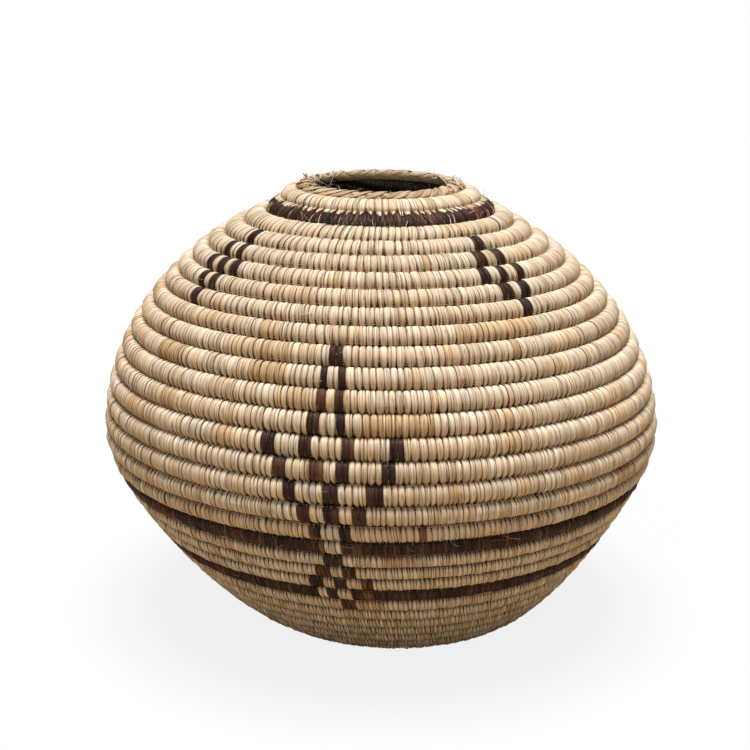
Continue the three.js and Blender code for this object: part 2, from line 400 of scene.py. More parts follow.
@dataclass(frozen=True)
class Pattern:
    """Dyed bands and diamonds. Coils are counted from the top, azimuths from the front."""

    bands: tuple[int, ...] = (2, 19, 23)
    repeats: int = 2
    # Coil and dye, then the azimuth of each block's middle and its width
    blocks: tuple[tuple[int, Dye, Line], ...] = (
        # Right shoulder
        (4, Dye.DARK, ((38.0, 6.8),)),
        (5, Dye.DARK, ((33.9, 6.7), (41.6, 6.7))),
        (6, Dye.DARK, ((31.2, 6.0), (37.7, 5.6), (44.5, 5.8))),
        (7, Dye.DARK, ((35.4, 7.6), (41.4, 7.2))),
        (8, Dye.DARK, ((38.3, 6.8),)),
        # Left shoulder
        (4, Dye.DARK, ((-52.4, 6.6),)),
        (5, Dye.DARK, ((-57.4, 6.6), (-50.1, 5.4))),
        (6, Dye.DARK, ((-59.6, 7.0), (-52.9, 7.0), (-46.6, 6.8))),
        (7, Dye.DARK, ((-56.2, 6.2), (-50.7, 6.6))),
        (8, Dye.DARK, ((-53.6, 6.8),)),
        # Belly diamond
        (10, Dye.DARK, ((-9.3, 6.8),)),
        (11, Dye.DARK, ((-11.3, 3.4), (-7.7, 3.6))),
        (12, Dye.DARK, ((-11.4, 4.9), (-8.0, 4.3))),
        (13, Dye.DARK, ((-12.6, 6.4), (-7.5, 4.9))),
        (14, Dye.DARK, ((-20.9, 7.5), (-13.8, 6.3), (-6.0, 5.8), (2.7, 7.0))),
        (15, Dye.DARK, ((-18.4, 7.1), (-11.5, 7.0), (-6.9, 6.5), (1.2, 6.9))),
        (16, Dye.DARK, ((-16.4, 6.0), (-9.0, 7.8), (-1.2, 8.6))),
        (17, Dye.DARK, ((-13.8, 6.4), (-8.8, 7.7), (-3.9, 7.1))),
        (18, Dye.DARK, ((-12.0, 5.9), (-6.5, 5.6))),
        (18, Dye.RUST, ((7.4, 3.6),)),
        # Waist and foot bands, and the small diamond between them
        (19, Dye.RUST, ((-11.2, 2.2),)),
        (19, Dye.NONE, ((-9.1, 8.8),)),
        (19, Dye.BROWN, ((-4.6, 5.6),)),
        (20, Dye.DARK, ((-9.5, 10.0),)),
        (21, Dye.DARK, ((-12.1, 7.8), (-6.8, 6.7))),
        (22, Dye.DARK, ((-14.3, 7.4), (-9.1, 6.6), (-3.4, 5.8))),
        (23, Dye.NONE, ((-13.8, 5.0), (-8.8, 7.8))),
        (23, Dye.RUST, ((-3.6, 5.4),)),
        (24, Dye.DARK, ((-8.6, 7.5),)),
    )

    def turns(self, coil: int, seam: float, length: float) -> list[Stretch]:
        """Lists the stretches of one coil that are not dyed like the rest of it.

        Args:
            coil: Coil counted from the top.
            seam: Azimuth at which the coil begins, in radians from +X.
            length: Length of the coil.

        Returns:
            Start and end of each stretch as shares of the turn, in order, with its dye.
        """
        found = []
        for dye, (azimuth, width) in (
            (dye, block) for at, dye, row in self.blocks if at == coil for block in row
        ):
            for repeat in range(self.repeats):
                here = math.radians(azimuth - 90) + 2 * math.pi * repeat / self.repeats
                middle = (here - seam) / (2 * math.pi) % 1
                half = width / 2 / length
                found.append((middle - half, middle + half, dye))
        return sorted(found, key=lambda stretch: stretch[0])

    def ground(self, coil: int) -> Dye:
        """How the rest of a coil is dyed."""
        return Dye.DARK if coil in self.bands else Dye.NONE


# Wrapped rounds


@dataclass(frozen=True)
class StripForm:
    """Share of its full width that a strip has at each place down the round."""

    tip: tuple[float, float, float]
    widths: tuple[float, ...]


@dataclass(frozen=True)
class WrapShape:
    """Form of the wrapped strips. Upper rounds end in tips below, lower rounds narrow above."""

    crest: float = 5.9
    edge: float = 0.3
    roundness: float = 2.6
    fullness: float = 0.55
    tip_reach: float = 1.1
    rise: float = 0.13
    side_drop: float = 0.8
    last_crest: float = 9.0
    last_sag: float = math.radians(26)
    last_reach: float = 6.4
    lying_place: float = 0.50
    lying_pull: float = 0.09
    lying_lift: float = 0.55
    leave_place: float = 0.22
    overhang: float = 0.945
    full_height: float = 5.2
    tip_press: float = 0.6
    most_tip_press: float = 1.2
    floor_clearance: float = 0.05
    flat_tip_loss: float = 0.7
    tip_swing: float = 0.45
    tip_lean: float = 0.3
    top_swing: float = 0.25
    edge_sharpness: int = 9
    full_half_width: float = 1.7
    most_crown: float = 1.1
    bundle_depth: float = 0.8
    grain_run: float = 6.0
    tip_shares: tuple[float, float, float] = (1.0, 0.62, 0.25)
    places: tuple[float, ...] = (
        -1.0, -0.88, -0.70, -0.45, -0.15, 0.15, 0.42, 0.64, 0.80, 0.91, 0.97, 1.0,
    )
    columns: tuple[float, ...] = (-1.0, -0.86, -0.5, 0.0, 0.5, 0.86, 1.0)
    inner_rows: tuple[int, ...] = (2, 5, 8, 11, 14)
    tipped: StripForm = StripForm(
        (0.16, 0.32, 0.43), (0.51, 0.64, 0.79, 0.92, 1.0, 1.0, 0.98, 0.89, 0.74, 0.57, 0.43, 0.32),
    )
    flat: StripForm = StripForm(
        (0.66, 0.82, 0.92), (0.97, 1.0, 1.0, 1.0, 1.0, 0.99, 0.93, 0.76, 0.56, 0.41, 0.32, 0.26),
    )
    fanged: StripForm = StripForm(
        (0.06, 0.26, 0.46), (0.60, 0.70, 0.80, 0.91, 0.99, 1.0, 1.0, 1.0, 1.0, 1.0, 1.0, 1.0),
    )

    def rows(self, flatness: float, is_fanged: bool) -> tuple[np.ndarray, np.ndarray, np.ndarray]:
        """Lists the rows of points along a strip from its tip up.

        Args:
            flatness: 0 for a strip with a narrow tip below, 1 for one that narrows above.
            is_fanged: Whether the strip ends in a long fang, as at the mouth.

        Returns:
            For each row its place on the round, its share of the tip's reach and of the width.
        """
        place = np.array([-1.0] * 3 + list(self.places))
        reach = np.array(list(self.tip_shares) + [0.0] * len(self.places))
        form = self.fanged if is_fanged else self.tipped
        tipped = np.array(form.tip + form.widths)
        flat = np.array(self.flat.tip + self.flat.widths)
        return place, reach, tipped + (flat - tipped) * flatness

    def swell(self, place: np.ndarray) -> np.ndarray:
        """Share of the full bulge at a place on the round, from 0 at its edges to 1."""
        return np.clip(1 - np.abs(place) ** self.roundness, 0, 1) ** self.fullness


@dataclass(frozen=True)
class Hand:
    """How unevenly the maker's hand cuts, splits, lays and dyes the strips."""

    width_spread: float = 0.17
    width_limits: Span = (0.6, 1.5)
    split_chance: float = 0.2
    split_spread: float = 0.11
    split_tip: float = 0.55
    tip_spread: float = 0.1
    fineness_in_band: float = 0.62
    weak_chance: float = 0.10
    weak_chance_in_band: float = 0.15
    weakest_dye: float = 0.55
    gap_chance: float = 0.35
    gap_shares: Span = (0.02, 0.10)
    leaf_change: float = 0.3
    browned_chance: float = 0.15
    palest: float = 0.08
    usual_range: float = 0.4
    brownest: float = 0.72
    tone_spread: float = 0.06
    dye_spread: float = 0.22
    least_narrowing: float = 0.3
    flat_narrowing: float = 0.4
    most_narrowing: float = 1.1
    stray: float = 0.22
    stray_in_band: float = 0.35
    wave_lean: float = 0.35
    wave_cycles: tuple[int, ...] = (3, 7, 13, 21)
    reach_limits: Span = (0.75, 1.2)
    shingle: float = 0.14
    shingle_spread: float = 0.12
    lift_spread: float = 0.16


@dataclass
class WrappedRound(StripWork):
    """One round of the coil: its fibre bundle and the strips wrapped over it, inside and out."""

    path: CoilPath
    shape: WrapShape
    pattern: Pattern
    node: str
    number: int
    pitch: float
    lean: float
    flatness: float = 0.0
    # Tone shift of the whole round, browner and darker; on the lower rounds it is painted shade
    age: float = 0.0
    below: "WrappedRound | None" = None
    first_edge: float | None = None
    hand: Hand = Hand()
    seed: int = 700
    crest_turn: float = 0.3
    last_turn_end: float = 0.985
    last_overlap: float = 0.002
    # Painted shade where strips dip into the grooves: where it starts on the round, how much sooner
    # on flat rounds, over what length it grows and its share at the upper edge
    groove_shade_from: float = 0.80
    flat_groove_shade: float = 0.20
    groove_shade_length: float = 0.25
    top_groove_shade: float = 0.6
    # Raises the height mark of the last round's strips, so less painted shade falls low on them
    tip_shade_lift: float = 0.5
    outer_sheet: BakeSheet = BakeSheet(0.0, 0.68, 6)
    inner_sheet: BakeSheet = BakeSheet(0.70, 0.86, 3)
    bundle_places: int = 11
    fewest_stations: int = 24
    station_length: float = 7.0
    bundle_girth: float = 34.0
    # Where the bundle starts on the bake map and how high it is there
    bundle_sheet: Span = (0.88, 0.11)

    @property
    def is_last(self) -> bool:
        """Whether this is the round at the mouth, whose tips lie on the band below it."""
        return self.below is not None

    @property
    def coil(self) -> int:
        """Number of the round, counted from the top."""
        return self.path.rounds - self.number

    @property
    def length(self) -> float:
        """Length of the whole round along its crest.

        Returns:
            The length in millimetres.
        """
        turn = np.array(self.crest_turn)
        middle = (self._low(turn) + self._high(turn)) / 2
        radius, _ = self.path.plane_point(middle, np.array(self.shape.crest))
        return float(2 * math.pi * radius)

    @property
    def turn_end(self) -> float:
        """Share of the turn at which the round ends. The last one runs out just before the seam."""
        return self.last_turn_end if self.is_last else 1.0

    @property
    def is_band(self) -> bool:
        """Whether the whole round is dyed."""
        return self.coil in self.pattern.bands

    def _low(self, turn: np.ndarray) -> np.ndarray:
        """Distance of the round's lower edge at a share of its turn."""
        low = self.path.edge(self.number + self.path.step_up(turn))
        return low if self.first_edge is None else np.full(np.shape(turn), self.first_edge)

    def _high(self, turn: np.ndarray) -> np.ndarray:
        """Distance of the round's upper edge at a share of its turn."""
        return self.path.edge(self.number + 1 + self.path.step_up(turn))

    def stretches(self) -> list[Stretch]:
        """Cuts the turn where the dye changes.

        Returns:
            Start and end of each stretch as shares of the turn, with its dye.
        """
        ground = self.pattern.ground(self.coil)
        cuts, at = [], 0.0
        for start, end, dye in self.pattern.turns(self.coil, self.path.seam, self.length):
            if start > at:
                cuts.append((at, start, ground))
            cuts.append((max(start, at), end, dye))
            at = end
        cuts.append((at, self.turn_end, ground))
        return cuts

    def spread(self) -> dict[str, np.ndarray]:
        """Shares the round out among its strips, stretch by stretch.

        Returns:
            For each strip its middle as a share of the turn, half its width, the way its tip
            lies and how far it is dyed.
        """
        hand, rng = self.hand, self.rng
        middles, halves, tips, dyes = [], [], [], []
        for start, end, dye in self.stretches():
            span = (end - start) * self.length
            is_dark = dye is Dye.DARK and self.is_band
            fineness = hand.fineness_in_band if is_dark else 1.0
            strips = max(1, round(span / (self.pitch * fineness)))
            widths, leans = [], []
            for width in rng.normal(1, hand.width_spread, strips).clip(*hand.width_limits):
                if rng.random() < hand.split_chance:
                    cut = 0.5 + rng.normal(0, hand.split_spread)
                    widths += [width * cut, width * (1 - cut)]
                    leans += [hand.split_tip, -hand.split_tip]
                else:
                    widths.append(width)
                    leans.append(0.0)
            widths = np.array(widths) * span / sum(widths)
            middles.append(start + (np.cumsum(widths) - widths / 2) / self.length)
            halves.append(widths / 2)
            tips.append(np.array(leans) + rng.normal(0, hand.tip_spread, len(widths)))
            chance = hand.weak_chance_in_band if is_dark else hand.weak_chance
            weak = rng.random(len(widths)) < chance
            hold = np.where(weak, rng.uniform(hand.weakest_dye, 1.0, len(widths)), 1.0)
            dyes.append(dye.value * hold)
        half = np.concatenate(halves)
        is_loose = rng.random(len(half)) < hand.gap_chance
        loose = np.where(is_loose, rng.uniform(*hand.gap_shares, len(half)), 0.0)
        return {
            "middle": np.concatenate(middles),
            "half": half * (1 - loose),
            "tip": np.concatenate(tips),
            "dye": np.concatenate(dyes),
        }

    def _tones(self, dyes: np.ndarray) -> np.ndarray:
        """Gives runs of neighbouring strips, cut from one leaf, about the same tone.

        Args:
            dyes: How far each strip is dyed. The dye takes less evenly than the leaf's own tone.

        Returns:
            Tone of each strip, from 0 to 1.
        """
        hand, rng = self.hand, self.rng
        tones = np.empty(len(dyes))
        at = 0
        while at < len(dyes):
            run = int(rng.geometric(hand.leaf_change))
            is_browned = rng.random() < hand.browned_chance
            tone = rng.beta(2, 3)
            tones[at : at + run] = tone if is_browned else hand.palest + hand.usual_range * tone
            at += run
        uneven = np.where(dyes > DYED_FROM, hand.dye_spread, hand.tone_spread)
        return (tones + self.age + rng.normal(0, uneven)).clip(0, hand.brownest)

    def _waves(self, turn: np.ndarray) -> np.ndarray:
        """Makes a slow unevenness round the coil.

        Args:
            turn: Share of the turn.

        Returns:
            The unevenness at each share, mostly between -1 and 1.
        """
        waves = np.zeros_like(turn)
        for cycles in self.hand.wave_cycles:
            waves += np.sin(2 * math.pi * (cycles * turn + self.rng.random())) / 2
        return waves

    def surface(
        self, turn: np.ndarray, place: np.ndarray, beyond: np.ndarray, lift: np.ndarray, side: int
    ) -> np.ndarray:
        """Places points on the wrapped surface.

        Args:
            turn: Share of the turn.
            place: Place on the round from its lower edge (-1) to its upper edge (1).
            beyond: Millimetres by which the point lies past the lower edge.
            lift: Millimetres over the surface.
            side: 1 for the outside of the basket, -1 for the inside.

        Returns:
            Points in millimetres.
        """
        shape = self.shape
        is_full = self.is_last and side > 0
        low, high = self._low(turn), self._high(turn)
        share = np.clip((high - low) / shape.full_height, 0, 1)
        leave = np.clip((-shape.leave_place - place) / (1 - shape.leave_place), 0, 1) * share
        if is_full:
            place = np.where(leave > 0, -shape.leave_place, place)
        low_r, low_z = self.path.plane_point(low, side * shape.edge)
        high_r, high_z = self.path.plane_point(high, side * shape.edge)
        chord_r, chord_z = high_r - low_r, high_z - low_z
        span = np.hypot(chord_r, chord_z) + 1e-6
        crest = (shape.last_crest if is_full else shape.crest) - shape.edge
        turned = shape.last_sag * share**4 if is_full else 0 * share
        out_r = side * (chord_z * np.cos(turned) - chord_r * np.sin(turned)) / span
        out_z = side * (-chord_r * np.cos(turned) - chord_z * np.sin(turned)) / span
        drawn = np.where(place < 0, shape.overhang * place, place)
        outward = crest * shape.swell(drawn) * share + lift
        if not is_full:
            press = np.clip(beyond / shape.tip_reach, 0, shape.most_tip_press) ** 2
            outward = outward - shape.tip_press * press * share
        along = (1 + place) / 2 - (0 if is_full else beyond * share / span)
        radius = low_r + chord_r * along + out_r * outward
        height = low_z + chord_z * along + out_z * outward
        azimuth = self.path.seam + 2 * math.pi * turn
        points = self.path.to_space(radius, np.maximum(height, shape.floor_clearance), azimuth)
        if not is_full:
            return points
        lying_place = shape.lying_place - shape.lying_pull * beyond
        lying = self.below.surface(turn, lying_place, 0 * turn, lift + shape.lying_lift, 1)
        return points + (lying - points) * leave[..., None]

    def _lift(self, across: np.ndarray, half: np.ndarray) -> np.ndarray:
        """Crowns the strips, sinks their edges and tips each one over its neighbour.

        Args:
            across: Place across the strip, from -1 to 1.
            half: Half the width of each strip.

        Returns:
            Millimetres over the surface.
        """
        shape, hand = self.shape, self.hand
        crown = shape.rise * (1 - across**2)
        crown = crown - shape.side_drop * np.abs(across) ** shape.edge_sharpness
        tips = hand.shingle + self.rng.normal(0, hand.shingle_spread, half.shape)
        crown_share = np.minimum(half / shape.full_half_width, shape.most_crown)
        lift = (crown + tips * across) * crown_share
        return lift + self.rng.normal(0, hand.lift_spread, half.shape)

    def _wrap(self, side: int) -> None:
        """Lays the strips over one side of the bundle.

        Args:
            side: 1 for the outside of the basket, -1 for the inside.
        """
        shape, hand, rng = self.shape, self.hand, self.rng
        spread = self.spread()
        place, reach, width = shape.rows(self.flatness, self.is_last)
        columns = np.array(shape.columns)
        if side < 0:
            keep = list(shape.inner_rows)
            place, reach, width, columns = place[keep], reach[keep], width[keep], columns[::2]
        place, reach, width = (v[None, :, None] for v in (place, reach, width))
        across = columns[None, None, :]
        middle, half, tip = (spread[k][:, None, None] for k in ("middle", "half", "tip"))
        narrowest = hand.least_narrowing + hand.flat_narrowing * self.flatness
        width = width ** rng.uniform(narrowest, hand.most_narrowing, middle.shape)
        lean = self.lean + hand.wave_lean * self._waves(middle)
        stray = hand.stray_in_band if self.is_band else hand.stray
        lean = lean + rng.normal(0, stray, middle.shape)
        tip_reach = shape.tip_reach * (1 - shape.flat_tip_loss * self.flatness)
        tip_reach = shape.last_reach if self.is_last else tip_reach
        reach = reach * tip_reach * rng.uniform(*hand.reach_limits, middle.shape)
        low_share = np.clip(-place, 0, 1) ** 2 * (1 - self.flatness)
        aside = -place * lean / 2 + tip * half * low_share * shape.tip_swing
        aside = aside + shape.tip_lean * reach * lean
        top_swing = shape.top_swing * tip * half * np.clip(place, 0, 1) ** 2 * self.flatness
        aside = aside - top_swing
        turn = middle + (across * half * width + aside) / self.length
        if self.is_last:
            turn = np.clip(turn, -self.last_overlap, self.turn_end + self.last_overlap)
        lift = self._lift(across, half)
        points = self.surface(*np.broadcast_arrays(turn, place, reach, lift), side)
        tones = self._tones(spread["dye"])
        seed = rng.random(len(tones))
        height = np.linspace(0, 1, place.shape[1])[None, :, None]
        tones, dyes, numbers = (v[:, None, None] for v in (tones, spread["dye"], seed))
        # The last round's strips carry less painted shade on their lower parts
        shade_lift = self.tip_shade_lift if self.is_last else 0.0
        beside = across * half * width + GRAIN_ASIDE * numbers
        sheet = self.outer_sheet if side > 0 else self.inner_sheet
        # Inside strips take the inner finish, whose dark tones are painted shade
        plain = Slot.NATURAL if side > 0 else Slot.INNER
        self.store.add(
            points,
            sheet.place(len(seed), across + 0 * height, height + 0 * across),
            np.where(spread["dye"] > DYED_FROM, Slot.DYED.value, plain.value),
            flip=side < 0,
            # Across, height mark for the painted shade low on the strips, and painted shade in the
            # grooves
            place=(across, shade_lift + (1 - shade_lift) * height, self._groove_shade(place)),
            grain=(beside, shape.grain_run * place - reach, GRAIN_DEEP * numbers),
            tone=(tones, dyes, numbers),
        )

    def _groove_shade(self, place: np.ndarray) -> np.ndarray:
        """Finds the painted shade on the strips where they dip into a groove.

        Args:
            place: Place on the round, from -1 to 1.

        Returns:
            The painted shade at each place, from 0 to 1.
        """
        near = np.abs(place) - self.groove_shade_from + self.flat_groove_shade * self.flatness
        top = self.top_groove_shade + (1 - self.top_groove_shade) * self.flatness
        return np.clip(near / self.groove_shade_length, 0, 1) * np.where(place > 0, top, self.flatness)

    def _bundle(self) -> None:
        """Makes the fibre bundle under the strips, as one skin round its section."""
        count = self.bundle_places
        stations = max(self.fewest_stations, round(self.length / self.station_length))
        turn = np.linspace(0, self.turn_end, stations)[:, None]
        sides = []
        for side in (1, -1):
            place, lift = np.linspace(side, -side, count), -self.shape.bundle_depth
            sides.append(self.surface(*np.broadcast_arrays(turn, place, 0.0, lift), side))
        around = np.linspace(0, self.bundle_girth, 2 * count)
        low, height = self.bundle_sheet
        self.store.add(
            np.concatenate(sides, 1)[None],
            on_map(turn / self.turn_end, low + height * around / around[-1])[None],
            Slot.BUNDLE,
            flip=True,
            place=(0, 0.5, 0),
            grain=(turn * self.length, around, self.number),
            tone=(0.5, 0, 0.5),
        )

    def build(self, finishes: list[bpy.types.Material]) -> bpy.types.Object:
        """Makes the round and puts it in the place of its plain solid.

        Args:
            finishes: Materials in the order of the slots.

        Returns:
            The round as one object.
        """
        self.start(self.seed + self.number)
        self._wrap(1)
        self._wrap(-1)
        self._bundle()
        piece = self.store.build(f"wrapped_{self.node}", finishes)
        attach(piece, BODY)
        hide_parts(self.node)
        "dyed_palm" if self.is_band else "natural_palm"
        return piece


@dataclass
class StrayFibres(StripWork):
    """Loose ends and hairs of leaf that stand out of the grooves and lie over the rounds."""

    rounds: list[WrappedRound]
    rim: "PlaitedRim"
    hairs: int = 380
    frays: int = 90
    ends: int = 120
    points_along: int = 11
    thinning: float = 0.8
    seed: int = 8
    lowest: int = 9
    hairs_per_band_hair: int = 4
    hair_lengths: Span = (3, 14)
    hair_places: Span = (-1.0, 0.9)
    hair_way: float = 0.9
    hair_curl: float = 1.5
    hair_wave: float = 0.10
    hair_waves: Span = (1, 4)
    hair_phase: Span = (0, 6)
    hair_seat: float = 0.15
    hair_rise: Span = (0.2, 1.3)
    hair_thickness: Span = (0.07, 0.16)
    # Right, left and front of the rim, and how many of the leaf ends stand at each
    fray_sides: tuple[float, ...] = (0.0, math.pi, -math.pi / 2)
    fray_shares: tuple[float, ...] = (0.44, 0.48, 0.08)
    fray_spread: float = 0.28
    fray_spread_in_front: float = 0.7
    fray_run: float = 5.0
    fray_start: float = 4.5
    fray_way: float = 2.5
    fray_rise: Span = (0.6, 3.2)
    fray_bend: Span = (1.2, 2.2)
    fray_thickness: Span = (0.10, 0.34)
    # The plait's top is a shallow arch over its section, and the leaf ends start under it
    arch_height: float = 4.6
    arch_fall: float = 0.09
    arch_middle: float = -1.5
    fray_root: float = 0.3
    end_sway: float = 0.6
    end_places: Span = (0.35, 0.8)
    end_seat: float = 0.12
    end_rise: float = 0.25
    end_thickness: Span = (0.18, 0.42)
    edge_place: float = 0.98
    # A direction in which no strand runs
    askew: tuple[float, float, float] = (0.3, 0.2, 1.0)
    # Height mark for the finish's painted shade on strip ends; at this height none is painted
    unshaded_place: float = 0.8
    grain_run: float = 8.0
    tone_shape: Span = (2.0, 3.0)

    def build(self, finishes: list[bpy.types.Material]) -> bpy.types.Object:
        """Makes all the hairs as one piece.

        Args:
            finishes: Materials in the order of the slots.

        Returns:
            The hairs as one object.
        """
        self.start(self.seed)
        walls = [wall for wall in self.rounds if wall.number >= self.lowest and not wall.is_last]
        bands = [wall for wall in walls if wall.is_band]
        low_bands = [wall for wall in bands if wall.coil != wall.pattern.bands[0]]
        for number in range(self.hairs):
            group = walls if number % self.hairs_per_band_hair else low_bands
            self._hair(group[int(self.rng.integers(len(group)))], number)
        for number in range(self.hairs, self.hairs + self.frays):
            self._fray(number)
        bands = [wall for wall in self.rounds if wall.is_band]
        for number in range(self.ends):
            self._end(bands[number % len(bands)], self.hairs + self.frays + number)
        piece = self.store.build("stray_fibres", finishes)
        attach(piece, BODY)
        return piece

    def _hair(self, wall: WrappedRound, number: int) -> None:
        """Lays one hair along a groove, rising and falling a little.

        Args:
            wall: Round on which the hair lies.
            number: Number of the hair, for its place on the bake map.
        """
        rng = self.rng
        along = np.linspace(0, 1, self.points_along)
        reach = rng.uniform(*self.hair_lengths)
        start = rng.random()
        turn = start + along * reach / wall.length * rng.choice([-1, 1])
        place = rng.uniform(*self.hair_places)
        place = place + rng.uniform(-self.hair_way, self.hair_way) * along**self.hair_curl
        wave = np.sin(along * rng.uniform(*self.hair_waves) + rng.uniform(*self.hair_phase))
        place = place + self.hair_wave * wave
        rise = rng.uniform(*self.hair_rise) * np.sin(math.pi * along) * along
        place = np.clip(place, -1, self.edge_place)
        middle = wall.surface(turn, place, 0 * turn, self.hair_seat + rise, 1)
        self._strand(middle, rng.uniform(*self.hair_thickness), number)

    def _fray(self, number: int) -> None:
        """Stands one leaf end out of the plait, mostly at its left and right.

        Args:
            number: Number of the leaf end, for its place on the bake map.
        """
        rng = self.rng
        along = np.linspace(0, 1, self.points_along)
        side = rng.choice(self.fray_sides, p=self.fray_shares)
        is_front = side == self.fray_sides[-1]
        spread = self.fray_spread_in_front if is_front else self.fray_spread
        azimuth = side + rng.normal(0, spread)
        run = azimuth * self.rim.path.mouth_radius
        run = run + rng.uniform(-self.fray_run, self.fray_run) * along
        start = rng.uniform(-self.fray_start, self.fray_start)
        across = start + rng.uniform(-self.fray_way, self.fray_way) * along
        rise = rng.uniform(*self.fray_rise) * np.sin(along * rng.uniform(*self.fray_bend))
        arch = self.arch_height - self.arch_fall * (start - self.arch_middle) ** 2
        middle = self.rim.place(run, across, arch - self.fray_root + rise)
        self._strand(middle, rng.uniform(*self.fray_thickness), number)

    def _end(self, wall: WrappedRound, number: int) -> None:
        """Lets one pale strip end show between the dyed strips of a band.

        Args:
            wall: Band on which it lies.
            number: Number of the strip end, for its place on the bake map.
        """
        rng = self.rng
        along = np.linspace(0, 1, self.points_along)
        turn = rng.random() + rng.normal(0, self.end_sway) * along / wall.length
        place = -self.edge_place + rng.uniform(*self.end_places) * along
        lift = self.end_seat + self.end_rise * np.sin(math.pi * along)
        middle = wall.surface(turn, place, 0 * turn, lift, 1)
        self._strand(middle, rng.uniform(*self.end_thickness), number)

    def _strand(self, middle: np.ndarray, thickness: float, number: int) -> None:
        """Makes a three-sided strand, thinner towards its free end.

        Args:
            middle: Points along its middle.
            thickness: Half thickness where it begins.
            number: Number of the strand, for its place on the bake map.
        """
        along = np.linspace(0, 1, self.points_along)
        ahead = np.gradient(middle, axis=0)
        ahead /= np.linalg.norm(ahead, axis=1, keepdims=True)
        beside = np.cross(ahead, self.askew)
        beside /= np.linalg.norm(beside, axis=1, keepdims=True)
        over = np.cross(ahead, beside)
        thick = thickness * (1 - self.thinning * along)[:, None, None]
        angle = np.array([0, 1, 2, 0]) * 2 * math.pi / 3
        ring = beside[:, None] * np.cos(angle)[:, None] + over[:, None] * np.sin(angle)[:, None]
        points = (middle[:, None] + thick * ring)[None]
        seed = self.rng.random()
        columns = math.ceil(math.sqrt(self.hairs + self.frays + self.ends))
        u = number % columns + CELL_MARGIN + CELL_FILL * np.linspace(0, 1, 4)[None, :]
        v = number // columns + CELL_MARGIN + CELL_FILL * along[:, None]
        self.store.add(
            points,
            on_map(u / columns, v / columns)[None],
            Slot.NATURAL,
            # Height mark above the finish's painted shade on strip ends
            place=(0, self.unshaded_place, 0),
            grain=(GRAIN_ASIDE * seed, along[:, None] * self.grain_run, GRAIN_DEEP * seed),
            tone=(self.rng.beta(*self.tone_shape), 0, seed),
        )


# Plaited rim


@dataclass(frozen=True)
class LeafSet:
    """Leaves of the plait that lie side by side round the rim, each over the next.

    The line gives points across the rim from its middle and over its seat. The widths are shares
    of the full width at these points, and the share is the full half width as a part of the
    distance between two leaves. The run is how far a leaf goes along the rim, and the tone shift
    makes the leaves browner and darker; on the sets under the top one it is painted shade.
    """

    line: Line
    widths: tuple[float, ...]
    share: float
    run: float
    age: float
    sheet: BakeSheet


